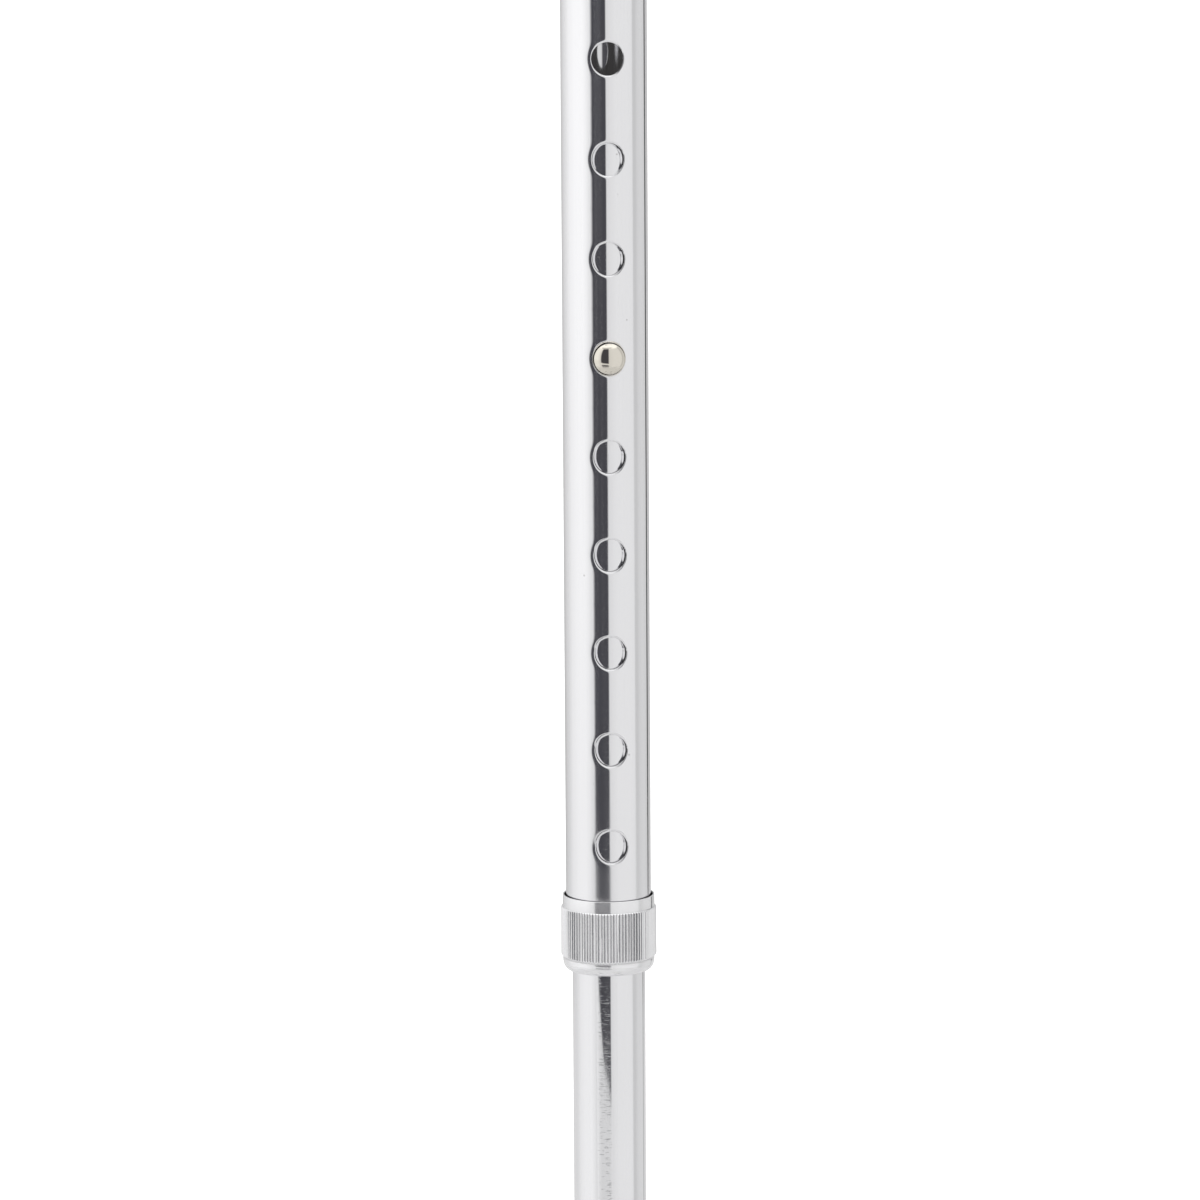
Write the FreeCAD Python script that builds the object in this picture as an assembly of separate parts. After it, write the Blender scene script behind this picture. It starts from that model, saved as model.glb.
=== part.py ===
import FreeCAD, Part
import math
import os

from FreeCAD import Vector

# Quad walking cane: a telescopic aluminium shaft with an offset handle on a
# four-legged steel base.
#
# Millimetres, +Z up.  The origin is on the floor, in the middle of the cane's
# bounding box.  The handle runs along X, the height holes face -Y, and the
# short side of the base, next to the user, faces +Y.  At rest the snap button
# stands in the fourth hole from the top.
#
# The shapes below are built with the shaft's axis on Z and are moved to their
# place in the frame when they are saved.

INCH = 25.4
Z_AXIS = Vector(0, 0, 1)

# Shaft tubes: 7/8 inch over 3/4 inch, both with a 0.049 inch wall
UPPER_R = 0.875 * INCH / 2
LOWER_R = 0.750 * INCH / 2
SHAFT_WALL = 0.049 * INCH
UPPER_BORE_R = UPPER_R - SHAFT_WALL
LOWER_BORE_R = LOWER_R - SHAFT_WALL

# Height holes, counted from the one that holds the button at rest
BUTTON_Z = 430.0
HOLE_PITCH = INCH
HOLES_ABOVE = 3
HOLES_BELOW = 5
HEIGHT_HOLE_R = 4.2
BUTTON_HOLE_R = 4.1

# Snap button and its leaf spring, measured outwards from the shaft's axis
BUTTON_R = 3.95
BUTTON_RIM = 11.4
BUTTON_TOP = 13.1
LEAF_FACE = 7.35
LEAF_THICKNESS = 0.7
LEAF_WIDTH = 7.0
LEAF_BEND_R = 3.0
LEAF_BEND_DROP = 38.0
LEAF_FLAT = 7.0
RIVET_R = 1.5
RIVET_HEAD_R = 2.2
RIVET_HEAD = 0.6

# Lock nut: heights below the button's axis
NUT_TOP = 141.2
KNURL_TOP = 144.25
KNURL_FOOT = 157.3
NUT_FOOT = 161.2
UPPER_FOOT = 152.0
LIP_BORE_DEPTH = 5.0
LIP_R = 12.02
LIP_BORE_R = 11.45
KNURL_R = 12.52
KNURL_ROOT_R = 12.20
KNURL_TEETH = 97
SHOULDER_R = 12.00
SHOULDER_BULGE_R = 11.31
SHOULDER_BULGE_Z = 1.57
THREAD_BORE_R = UPPER_R + 0.06
NUT_FOOT_R = 9.78
NUT_FOOT_BORE_R = 9.70
CONE_TOP = 157.0
CONE_FOOT = 160.4

# Split ring inside the nut
RING_GAP = 0.05
RING_SLOT = 1.5

# Inner tube, from the socket in the base to the bush at its top
LOWER_TOP = BUTTON_Z + 62.0
LOWER_FOOT = 100.0
BUSH_FLANGE_R = 9.80
BUSH_FLANGE = 2.0
BUSH_SKIRT = 15.0
BUSH_BORE_R = 6.8
PLUG_FLANGE = 2.0
PLUG_SKIRT = 12.0

# Offset neck and handle
HANDLE_AXIS_Z = 796.0
NECK_ANGLE = 50.0
NECK_LOW_R = 60.0
NECK_RUN = 55.0
NECK_HIGH_R = 42.0
TUBE_END_X = -80.0
GRIP_FRONT_X = 35.0
GRIP_WALL = 4.0

# Base: 5/8 inch leg tubes, a 7/8 inch socket and a plate under them
LEG_R = 0.625 * INCH / 2
LEG_WALL = 1.4
STEM_BORE_R = LOWER_R + 0.10
STEM_R = STEM_BORE_R + 1.5
STEM_TOP = 170.0
HUB_Z = 97.0
HUB_HALF_X = 22.0
HUB_BEND_R = 28.0
KNEE_Z = 80.0
KNEE_BEND_R = 32.0
FOOT_X = 85.0
LEG_OFFSET = STEM_R + LEG_R
USER_REACH = LEG_OFFSET
OUTER_REACH = 96.0
PLATE_HALF_X = 30.0
PLATE_HALF_Y = 27.0
PLATE_THICKNESS = 3.0
PLATE_CORNER_R = 9.0

# Cross bolt M6 through the socket
BOLT_Z = 150.0
BOLT_R = 3.0
BOLT_HOLE_R = 3.15
BOLT_HEAD_FLATS = 10.0
BOLT_HEAD = 4.0
BOLT_NUT = 6.0
BOLT_TAIL = 2.0
WASHER_R = 6.0
WASHER = 1.2

# Rubber tips
TIP_FOOT_R = 16.5
TIP_FOOT_EDGE = 4.0
TIP_WAIST_R = 11.4
TIP_WAIST_Z = 14.0
TIP_TOP_Z = 33.0
TIP_RIB_R = 12.3
TIP_RIB_HEIGHTS = (17.0, 21.5, 26.0)
TIP_RIB_HALF = 1.1
TIP_BORE_Z = 8.0
TIP_WASHER = 1.2
TREAD_DEPTH = 1.2
TREAD_GROOVES = ((4.0, 5.5), (8.0, 9.5), (12.0, 13.5))

# The shaft stands off the middle of the base, on the user's side
SHAFT_Y = (OUTER_REACH - USER_REACH) / 2


def save(name, shape):
    """Move a shape into the cane's frame and write its STEP file."""
    placed = shape.removeSplitter()
    placed.translate(Vector(0, SHAFT_Y, 0))
    placed.exportStep("parts/" + name + ".step")
    print(name, "valid", placed.isValid(), "solids", len(placed.Solids), "mm3", round(placed.Volume, 1))


def cylinder(radius, low, high):
    """Solid cylinder on the Z axis."""
    return Part.makeCylinder(radius, high - low, Vector(0, 0, low))


def ring(outer, inner, low, high):
    """Plain tube on the Z axis."""
    return cylinder(outer, low, high).cut(cylinder(inner, low - 1, high + 1))


def turned(edges):
    """Solid turned about Z from a closed outline in the XZ plane."""
    face = Part.Face(Part.Wire(edges))
    return face.revolve(Vector(0, 0, 0), Z_AXIS, 360)


def outline(points):
    """Straight edges through (radius, height) points, closed."""
    corners = [Vector(radius, 0, height) for radius, height in points]
    return Part.makePolygon(corners + corners[:1]).Edges


def facing_out(shape, height):
    """Turn a shape built up along Z so that it points out of the holes, at -Y."""
    turned_shape = shape.copy()
    turned_shape.rotate(Vector(0, 0, 0), Vector(1, 0, 0), 90)
    turned_shape.translate(Vector(0, 0, height))
    return turned_shape


def front_hole(radius, height):
    """Cutter for a hole in the wall that faces -Y only."""
    return facing_out(cylinder(radius, 0, 2 * UPPER_R), height)


def through_hole(radius, height):
    """Cutter for a hole across both walls, along Y."""
    return facing_out(cylinder(radius, -2 * UPPER_R, 2 * UPPER_R), height)


def rounded_path(points, radii):
    """Straight runs through the points, with a tangent arc at each inner point."""
    edges = []
    start = points[0]
    for before, corner, after, radius in zip(points, points[1:], points[2:], radii):
        incoming = (corner - before).normalize()
        outgoing = (after - corner).normalize()
        turn = incoming.getAngle(outgoing)
        setback = radius * math.tan(turn / 2)
        arc_start = corner - incoming * setback
        arc_end = corner + outgoing * setback
        inward = (outgoing - incoming).normalize()
        centre = corner + inward * (radius / math.cos(turn / 2))
        edges.append(Part.makeLine(start, arc_start))
        edges.append(Part.Arc(arc_start, centre - inward * radius, arc_end).toShape())
        start = arc_end
    edges.append(Part.makeLine(start, points[-1]))
    return Part.Wire(edges)


def swept(path, radius):
    """Round bar of one radius along a smooth path that starts along Z."""
    start = path.OrderedVertexes[0].Point
    profile = Part.Wire(Part.makeCircle(radius, start, Z_AXIS))
    return path.makePipeShell([profile], True, False)


def on_circle(centre, radius, angle):
    """Point of a circle in the XZ plane, the angle measured from +X towards +Z."""
    return centre + Vector(radius * math.cos(angle), 0, radius * math.sin(angle))


def neck_path(foot):
    """Axis of the outer tube: up the shaft, out over the neck and back to the handle."""
    lean = math.radians(NECK_ANGLE)
    run = Vector(math.sin(lean), 0, math.cos(lean)) * NECK_RUN
    low_offset = Vector(NECK_LOW_R * (1 - math.cos(lean)), 0, NECK_LOW_R * math.sin(lean))
    high_rise = NECK_HIGH_R * (1 + math.sin(lean))
    low_start = Vector(0, 0, HANDLE_AXIS_Z - high_rise - run.z - low_offset.z)
    low_centre = low_start + Vector(NECK_LOW_R, 0, 0)
    low_end = low_start + low_offset
    high_start = low_end + run
    high_centre = high_start - Vector(NECK_HIGH_R * math.cos(lean), 0, -NECK_HIGH_R * math.sin(lean))
    high_end = high_centre + Vector(0, 0, NECK_HIGH_R)
    print("neck starts at z", round(low_start.z, 1), "and the handle's run at x", round(high_end.x, 1))
    return Part.Wire([
        Part.makeLine(Vector(0, 0, foot), low_start),
        Part.Arc(low_start, on_circle(low_centre, NECK_LOW_R, math.pi - lean / 2), low_end).toShape(),
        Part.makeLine(low_end, high_start),
        Part.Arc(high_start, on_circle(high_centre, NECK_HIGH_R, 0), high_end).toShape(),
        Part.makeLine(high_end, Vector(TUBE_END_X, 0, HANDLE_AXIS_Z)),
    ])


def upper_tube():
    """Outer tube with its row of height holes, bent over into the handle."""
    path = neck_path(BUTTON_Z - UPPER_FOOT)
    tube = swept(path, UPPER_R).cut(swept(path, UPPER_BORE_R))
    for step in range(-HOLES_BELOW, HOLES_ABOVE + 1):
        tube = tube.cut(front_hole(HEIGHT_HOLE_R, BUTTON_Z + step * HOLE_PITCH))
    return tube


def along_handle(shape):
    """Lay a shape built up along Z on the handle's axis, pointing to -X."""
    laid = shape.copy()
    laid.rotate(Vector(0, 0, 0), Vector(0, 1, 0), -90)
    laid.translate(Vector(0, 0, HANDLE_AXIS_Z))
    return laid


def handle_grip():
    """Moulded grip with a waist at each end of its barrel and a closed rear end."""
    front = -GRIP_FRONT_X
    tube_end = -TUBE_END_X + PLUG_FLANGE
    rear = tube_end + GRIP_WALL
    profile = [
        (14.3, front + 1.5), (15.0, front + 6), (14.3, front + 20), (15.8, front + 45),
        (16.8, front + 68), (15.6, front + 93), (16.2, rear - 10), (15.0, rear - 3.5),
    ]
    side = Part.BSplineCurve()
    side.interpolate([Vector(radius, 0, height) for radius, height in profile])
    side_start = Vector(profile[0][0], 0, profile[0][1])
    side_end = Vector(profile[-1][0], 0, profile[-1][1])
    front_edge = Vector(13.0, 0, front)
    rear_edge = Vector(10.5, 0, rear)
    edges = [
        Part.makeLine(Vector(UPPER_R, 0, front), front_edge),
        Part.makeLine(front_edge, side_start),
        side.toShape(),
        Part.Arc(side_end, Vector(13.4, 0, rear - 1.2), rear_edge).toShape(),
        Part.makeLine(rear_edge, Vector(0, 0, rear)),
        Part.makeLine(Vector(0, 0, rear), Vector(0, 0, tube_end)),
        Part.makeLine(Vector(0, 0, tube_end), Vector(UPPER_R, 0, tube_end)),
        Part.makeLine(Vector(UPPER_R, 0, tube_end), Vector(UPPER_R, 0, front)),
    ]
    return along_handle(turned(edges))


def end_plug(flange_r, skirt_r):
    """Solid tube plug that goes down into a tube whose end is at height zero."""
    return cylinder(flange_r, 0, PLUG_FLANGE).fuse(cylinder(skirt_r, -PLUG_SKIRT, 0))


def handle_end_plug():
    plug = end_plug(UPPER_R, UPPER_BORE_R)
    plug.translate(Vector(0, 0, -TUBE_END_X))
    return along_handle(plug)


def lower_tube_plug():
    plug = end_plug(LOWER_R, LOWER_BORE_R)
    plug.rotate(Vector(0, 0, 0), Vector(1, 0, 0), 180)
    plug.translate(Vector(0, 0, LOWER_FOOT))
    return plug


def lower_tube():
    """Inner tube with the button's hole and the cross bolt's holes."""
    tube = ring(LOWER_R, LOWER_BORE_R, LOWER_FOOT, LOWER_TOP)
    return tube.cut(front_hole(BUTTON_HOLE_R, BUTTON_Z)).cut(through_hole(BOLT_HOLE_R, BOLT_Z))


def tube_guide_bush():
    """Nylon bush that keeps the inner tube central in the outer one."""
    flange = ring(BUSH_FLANGE_R, BUSH_BORE_R, LOWER_TOP, LOWER_TOP + BUSH_FLANGE)
    skirt = ring(LOWER_BORE_R, BUSH_BORE_R, LOWER_TOP - BUSH_SKIRT, LOWER_TOP)
    return flange.fuse(skirt)


def snap_button():
    """Domed pin with a rivet tail through the leaf spring."""
    rim = Vector(BUTTON_R, 0, BUTTON_RIM)
    top = Vector(0, 0, BUTTON_TOP)
    rise = BUTTON_TOP - BUTTON_RIM
    dome_r = (BUTTON_R ** 2 + rise ** 2) / (2 * rise)
    half_turn = math.asin(BUTTON_R / dome_r) / 2
    middle = Vector(dome_r * math.sin(half_turn), 0, BUTTON_TOP - dome_r * (1 - math.cos(half_turn)))
    leaf_back = LEAF_FACE - LEAF_THICKNESS
    tail = [
        Vector(0, 0, leaf_back - RIVET_HEAD), Vector(RIVET_HEAD_R, 0, leaf_back - RIVET_HEAD),
        Vector(RIVET_HEAD_R, 0, leaf_back), Vector(RIVET_R, 0, leaf_back),
        Vector(RIVET_R, 0, LEAF_FACE), Vector(BUTTON_R, 0, LEAF_FACE), rim,
    ]
    edges = Part.makePolygon(tail).Edges
    edges.append(Part.Arc(rim, middle, top).toShape())
    edges.append(Part.makeLine(top, tail[0]))
    return facing_out(turned(edges), BUTTON_Z)


def button_spring():
    """Leaf bent into a V: one arm carries the button, the other bears on the back wall."""
    arm = LEAF_FACE - LEAF_THICKNESS / 2
    bend_z = BUTTON_Z - LEAF_BEND_DROP
    shoulder_z = BUTTON_Z - LEAF_FLAT
    bend_foot = Vector(0, 0, bend_z - LEAF_BEND_R)
    path = Part.Wire([
        Part.makeLine(Vector(0, -arm, BUTTON_Z + LEAF_FLAT), Vector(0, -arm, shoulder_z)),
        Part.makeLine(Vector(0, -arm, shoulder_z), Vector(0, -LEAF_BEND_R, bend_z)),
        Part.Arc(Vector(0, -LEAF_BEND_R, bend_z), bend_foot, Vector(0, LEAF_BEND_R, bend_z)).toShape(),
        Part.makeLine(Vector(0, LEAF_BEND_R, bend_z), Vector(0, arm, shoulder_z)),
        Part.makeLine(Vector(0, arm, shoulder_z), Vector(0, arm, BUTTON_Z + LEAF_FLAT)),
    ])
    section = Part.Face(path.makeOffset2D(LEAF_THICKNESS / 2, 2))
    leaf = section.extrude(Vector(LEAF_WIDTH, 0, 0))
    leaf.translate(Vector(-LEAF_WIDTH / 2, 0, 0))
    return leaf.cut(front_hole(RIVET_R, BUTTON_Z))


def knurl():
    """Straight-knurled band: V flutes all round, its outline a star extruded along Z."""
    points = []
    for tooth in range(KNURL_TEETH):
        for radius, share in ((KNURL_R, 0.25), (KNURL_ROOT_R, 0.75)):
            turn = 2 * math.pi * (tooth + share) / KNURL_TEETH
            points.append(Vector(radius * math.cos(turn), radius * math.sin(turn), 0))
    star = Part.Face(Part.makePolygon(points + points[:1]))
    band = star.extrude(Vector(0, 0, KNURL_FOOT - KNURL_TOP))
    band.translate(Vector(0, 0, BUTTON_Z - KNURL_FOOT))
    return band


def nut_cavity():
    """Room inside the nut: lip clearance, thread land, cone for the ring and foot bore."""
    heights = [
        (LIP_BORE_R, NUT_TOP - 1), (LIP_BORE_R, NUT_TOP + LIP_BORE_DEPTH),
        (THREAD_BORE_R, NUT_TOP + LIP_BORE_DEPTH), (THREAD_BORE_R, CONE_TOP),
        (NUT_FOOT_BORE_R, CONE_FOOT), (NUT_FOOT_BORE_R, NUT_FOOT + 1),
    ]
    corners = [(0, heights[0][1])] + heights + [(0, heights[-1][1])]
    return turned(outline([(radius, BUTTON_Z - drop) for radius, drop in corners]))


def lock_nut():
    """Smooth lip, straight knurl, and a rounded shoulder that closes on the inner tube."""
    top = BUTTON_Z - NUT_TOP
    shoulder_z = BUTTON_Z - KNURL_FOOT
    foot = BUTTON_Z - NUT_FOOT
    bulge = Vector(SHOULDER_BULGE_R, 0, foot + SHOULDER_BULGE_Z)
    shoulder = Part.Arc(Vector(SHOULDER_R, 0, shoulder_z), bulge, Vector(NUT_FOOT_R, 0, foot))
    corners = [
        Vector(NUT_FOOT_R, 0, foot), Vector(0, 0, foot), Vector(0, 0, top), Vector(LIP_R, 0, top),
        Vector(LIP_R, 0, BUTTON_Z - KNURL_TOP), Vector(SHOULDER_R, 0, BUTTON_Z - KNURL_TOP),
        Vector(SHOULDER_R, 0, shoulder_z),
    ]
    blank = turned(Part.makePolygon(corners).Edges + [shoulder.toShape()])
    return blank.fuse(knurl()).cut(nut_cavity())


def compression_ring():
    """Split nylon ring with a taper that matches the nut's cone."""
    outer = THREAD_BORE_R - RING_GAP
    bore = LOWER_R + RING_GAP
    foot_r = NUT_FOOT_BORE_R - RING_GAP + (THREAD_BORE_R - NUT_FOOT_BORE_R) / 8
    foot_drop = CONE_FOOT - (CONE_FOOT - CONE_TOP) / 8
    points = [
        (bore, UPPER_FOOT), (outer, UPPER_FOOT), (outer, CONE_TOP),
        (foot_r, foot_drop), (bore, foot_drop),
    ]
    body = turned(outline([(radius, BUTTON_Z - drop) for radius, drop in points]))
    slot = Part.makeBox(2 * UPPER_R, RING_SLOT, NUT_FOOT, Vector(0, -RING_SLOT / 2, BUTTON_Z - NUT_FOOT))
    return body.cut(slot)


def base_stem():
    """Socket tube that the inner tube stands in."""
    tube = ring(STEM_R, STEM_BORE_R, HUB_Z - LEG_R, STEM_TOP)
    return tube.cut(through_hole(BOLT_HOLE_R, BOLT_Z))


def leg_path(foot_y, hub_y):
    """Axis of a tube that makes two legs: foot, knee, past the socket, knee, foot."""
    half = [
        Vector(-FOOT_X, foot_y, TIP_BORE_Z + TIP_WASHER),
        Vector(-FOOT_X, foot_y, KNEE_Z),
        Vector(-HUB_HALF_X, hub_y, HUB_Z),
    ]
    mirrored = [Vector(-point.x, point.y, point.z) for point in reversed(half)]
    return rounded_path(half + mirrored, [KNEE_BEND_R, HUB_BEND_R, HUB_BEND_R, KNEE_BEND_R])


def leg_tube(path):
    return swept(path, LEG_R).cut(swept(path, LEG_R - LEG_WALL))


def hub_plate(paths):
    """Plate with rounded corners, cut to sit under the socket and against both leg tubes."""
    size_x = 2 * PLATE_HALF_X
    size_y = 2 * PLATE_HALF_Y
    low = HUB_Z - LEG_R - PLATE_THICKNESS
    plate = Part.makeBox(size_x, size_y, PLATE_THICKNESS, Vector(-PLATE_HALF_X, -PLATE_HALF_Y, low))
    corners = [edge for edge in plate.Edges if abs(edge.tangentAt(edge.FirstParameter).z) > 0.99]
    plate = plate.makeFillet(PLATE_CORNER_R, corners)
    for path in paths:
        plate = plate.cut(swept(path, LEG_R))
    return plate


def hexagon(flats, low, high):
    """Hexagonal prism on the Z axis."""
    corner_r = flats / math.sqrt(3)
    points = []
    for corner in range(7):
        turn = math.radians(60 * corner + 30)
        points.append(Vector(corner_r * math.cos(turn), corner_r * math.sin(turn), low))
    return Part.Face(Part.makePolygon(points)).extrude(Vector(0, 0, high - low))


def base_bolt():
    head_foot = STEM_R + WASHER
    shank = cylinder(BOLT_R, -(head_foot + BOLT_NUT + BOLT_TAIL), head_foot)
    head = hexagon(BOLT_HEAD_FLATS, head_foot, head_foot + BOLT_HEAD)
    return facing_out(shank.fuse(head), BOLT_Z)


def base_lock_nut():
    """Hexagon below, round nylon collar on its outer end."""
    near = STEM_R + WASHER
    collar = 1.5
    body = hexagon(BOLT_HEAD_FLATS, -(near + BOLT_NUT - collar), -near)
    end = cylinder(BOLT_HEAD_FLATS / 2 - 0.4, -(near + BOLT_NUT), -(near + BOLT_NUT - collar))
    bore = cylinder(BOLT_R, -2 * near, 0)
    return facing_out(body.fuse(end).cut(bore), BOLT_Z)


def base_washers():
    front = ring(WASHER_R, BOLT_HOLE_R, STEM_R, STEM_R + WASHER)
    back = ring(WASHER_R, BOLT_HOLE_R, -STEM_R - WASHER, -STEM_R)
    return facing_out(Part.Compound([front, back]), BOLT_Z)


def rubber_tip():
    """Flared tip with grip ribs and ring treads, its foot on the floor."""
    flare = Part.Arc(
        Vector(TIP_FOOT_R, 0, TIP_FOOT_EDGE), Vector(12.6, 0, 8.4), Vector(TIP_WAIST_R, 0, TIP_WAIST_Z)
    )
    top_round = Part.Arc(
        Vector(TIP_WAIST_R, 0, TIP_TOP_Z - 2), Vector(TIP_WAIST_R - 0.6, 0, TIP_TOP_Z - 0.6),
        Vector(TIP_WAIST_R - 2, 0, TIP_TOP_Z),
    )
    inside = [
        Vector(TIP_WAIST_R - 2, 0, TIP_TOP_Z), Vector(LEG_R, 0, TIP_TOP_Z),
        Vector(LEG_R, 0, TIP_BORE_Z), Vector(0, 0, TIP_BORE_Z), Vector(0, 0, 0),
        Vector(TIP_FOOT_R, 0, 0), Vector(TIP_FOOT_R, 0, TIP_FOOT_EDGE),
    ]
    side = Part.makeLine(Vector(TIP_WAIST_R, 0, TIP_WAIST_Z), Vector(TIP_WAIST_R, 0, TIP_TOP_Z - 2))
    tip = turned([flare.toShape(), side, top_round.toShape()] + Part.makePolygon(inside).Edges)
    for height in TIP_RIB_HEIGHTS:
        tip = tip.fuse(ring(TIP_RIB_R, LEG_R, height - TIP_RIB_HALF, height + TIP_RIB_HALF))
    for inner, outer in TREAD_GROOVES:
        tip = tip.cut(ring(outer, inner, -1, TREAD_DEPTH))
    return tip


def tip_washer():
    """Steel disc at the bottom of the tip's bore, under the leg's end."""
    return cylinder(LEG_R, TIP_BORE_Z, TIP_BORE_Z + TIP_WASHER)


def at_foot(shape, foot):
    placed = shape.copy()
    placed.translate(foot)
    return placed


os.makedirs("parts", exist_ok=True)

save("upper_tube", upper_tube())
save("handle_grip", handle_grip())
save("handle_end_plug", handle_end_plug())
save("lock_nut", lock_nut())
save("compression_ring", compression_ring())
save("lower_tube", lower_tube())
save("tube_guide_bush", tube_guide_bush())
save("lower_tube_plug", lower_tube_plug())
save("snap_button", snap_button())
save("button_spring", button_spring())
save("base_stem", base_stem())
user_legs = leg_path(USER_REACH, LEG_OFFSET)
outer_legs = leg_path(-OUTER_REACH, -LEG_OFFSET)
save("hub_plate", hub_plate([user_legs, outer_legs]))
save("user_leg_tube", leg_tube(user_legs))
save("outer_leg_tube", leg_tube(outer_legs))
save("base_bolt", base_bolt())
save("base_lock_nut", base_lock_nut())
save("base_washers", base_washers())

FEET = {
    "user_front": Vector(FOOT_X, USER_REACH, 0),
    "user_rear": Vector(-FOOT_X, USER_REACH, 0),
    "outer_front": Vector(FOOT_X, -OUTER_REACH, 0),
    "outer_rear": Vector(-FOOT_X, -OUTER_REACH, 0),
}
for place, foot in FEET.items():
    save("rubber_tip_" + place, at_foot(rubber_tip(), foot))
    save("tip_washer_" + place, at_foot(tip_washer(), foot))
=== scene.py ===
import math

import bmesh
import bpy
import numpy as np
from mathutils import Matrix, Quaternion, Vector


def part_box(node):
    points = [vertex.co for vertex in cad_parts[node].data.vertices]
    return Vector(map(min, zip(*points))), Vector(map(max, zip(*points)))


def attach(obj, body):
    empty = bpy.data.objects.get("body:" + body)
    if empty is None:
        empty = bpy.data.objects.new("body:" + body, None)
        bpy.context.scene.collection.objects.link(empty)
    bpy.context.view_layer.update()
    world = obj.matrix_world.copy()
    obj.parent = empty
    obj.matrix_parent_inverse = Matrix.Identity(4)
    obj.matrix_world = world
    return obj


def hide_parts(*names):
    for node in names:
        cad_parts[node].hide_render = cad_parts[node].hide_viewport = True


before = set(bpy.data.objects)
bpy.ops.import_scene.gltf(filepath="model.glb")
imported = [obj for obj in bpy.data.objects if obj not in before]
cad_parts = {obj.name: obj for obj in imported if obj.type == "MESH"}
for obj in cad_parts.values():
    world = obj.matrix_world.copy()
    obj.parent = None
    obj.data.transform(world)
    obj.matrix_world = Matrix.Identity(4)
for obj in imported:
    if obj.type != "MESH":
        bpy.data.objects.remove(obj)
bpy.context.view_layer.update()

MM = 0.001
INCH = 0.0254
TOWARDS_X = np.array([1.0, 0, 0])
random_draw = np.random.default_rng(20)


# ==== Places and sizes, read from the CAD frame

def middle(node):
    low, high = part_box(node)
    return (low + high) / 2


def half_size(node):
    low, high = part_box(node)
    return (high - low) / 2


SHAFT = middle("lower_tube")
BUTTON_Z = middle("snap_button").z
LOWER_R = half_size("lower_tube").x
UPPER_R = half_size("upper_tube").y
SHAFT_WALL = 0.049 * INCH
STEM_R = half_size("base_stem").x
BOLT_Z = middle("base_bolt").z


# ==== Mesh building

def into_scene(thing):
    bpy.context.scene.collection.objects.link(thing)
    return thing


def run_along(points):
    """Distance along a line of points, from its first."""
    steps = np.linalg.norm(np.diff(np.array(points, float), axis=0), axis=1)
    return np.concatenate([[0], np.cumsum(steps)])


class Shell:
    """Collects sheets of quads that share their edges, and makes one mesh of them."""

    def __init__(self):
        self.points = []
        self.coords = []
        self.faces = []
        self.slots = []
        self.count = 0

    def grid(self, points, coords=None, slot=0):
        """Add a sheet. points is rows x columns x 3, coords rows x columns x 2 in metres."""
        rows, columns = points.shape[:2]
        if coords is None:
            coords = points[..., :2]
        index = self.count + np.arange(rows * columns).reshape(rows, columns)
        quads = np.stack([index[:-1, :-1], index[:-1, 1:], index[1:, 1:], index[1:, :-1]], -1)
        self.points.append(points.reshape(-1, 3))
        self.coords.append(coords.reshape(-1, 2))
        self.faces.append(quads.reshape(-1, 4))
        self.slots += [slot] * ((rows - 1) * (columns - 1))
        self.count += rows * columns

    def turned(self, axis, outline, columns=96, shape=None, slot=0):
        """Turn an outline of (radius, height) points about an axis. shape may alter the radii."""
        radius, height = np.array(outline, float).T[:, :, None]
        angle = np.linspace(0, 2 * math.pi, columns + 1)[None, :]
        radius, height, angle = np.broadcast_arrays(radius, height, angle)
        if shape:
            radius = shape(radius, height, angle)
        along = run_along(outline)[:, None]
        coords = np.stack([angle * radius.max(), np.broadcast_to(along, angle.shape)], -1)
        self.grid(axis.points(radius, height, angle), coords, slot)

    def swept(self, route, headings, side, radius, angles, slot=0):
        """Carry a circle along a route. Return its first and last rings. radius may vary by point."""
        across = []
        for heading in headings:
            side = side - heading * np.dot(side, heading)
            side = side / np.linalg.norm(side)
            across.append(side)
        across = np.array(across)
        upright = np.cross(headings, across)
        reach = np.broadcast_to(radius, len(route))[:, None, None]
        turn = np.asarray(angles)[None, :, None]
        points = route[:, None] + reach * (np.sin(turn) * across[:, None] - np.cos(turn) * upright[:, None])
        run = run_along(route) + route[0][2]
        coords = np.stack(np.broadcast_arrays(turn[..., 0] * np.max(radius), run[:, None]), -1)
        self.grid(points, coords, slot)
        return points[0], points[-1]

    def build(self, name, sharp_degrees=35):
        """Join the sheets, point the normals outwards and shade smoothly between sharp edges."""
        coords = np.concatenate(self.coords)
        faces = np.concatenate(self.faces)
        mesh = bpy.data.meshes.new(name)
        mesh.from_pydata(np.concatenate(self.points).tolist(), [], faces.tolist())
        layer = mesh.uv_layers.new(name="length")
        layer.data.foreach_set("uv", coords[faces.ravel()].astype(np.float32).ravel())
        mesh.polygons.foreach_set("material_index", self.slots)
        work = bmesh.new()
        work.from_mesh(mesh)
        bmesh.ops.remove_doubles(work, verts=work.verts, dist=1e-6)
        bmesh.ops.recalc_face_normals(work, faces=work.faces)
        work.to_mesh(mesh)
        work.free()
        mesh.polygons.foreach_set("use_smooth", [True] * len(mesh.polygons))
        mesh.set_sharp_from_angle(angle=math.radians(sharp_degrees))
        return into_scene(bpy.data.objects.new(name, mesh))


class Axis:
    """Line that a piece is turned about: where it starts, its direction, and where angle 0 is."""

    def __init__(self, origin, along=(0, 0, 1), side=(1, 0, 0)):
        self.origin = np.array(origin, float)
        self.along = np.array(along, float)
        self.side = np.array(side, float)

    def points(self, radius, height, angle):
        other = np.cross(self.along, self.side)
        spoke = np.cos(angle)[..., None] * self.side + np.sin(angle)[..., None] * other
        return self.origin + radius[..., None] * spoke + height[..., None] * self.along


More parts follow.
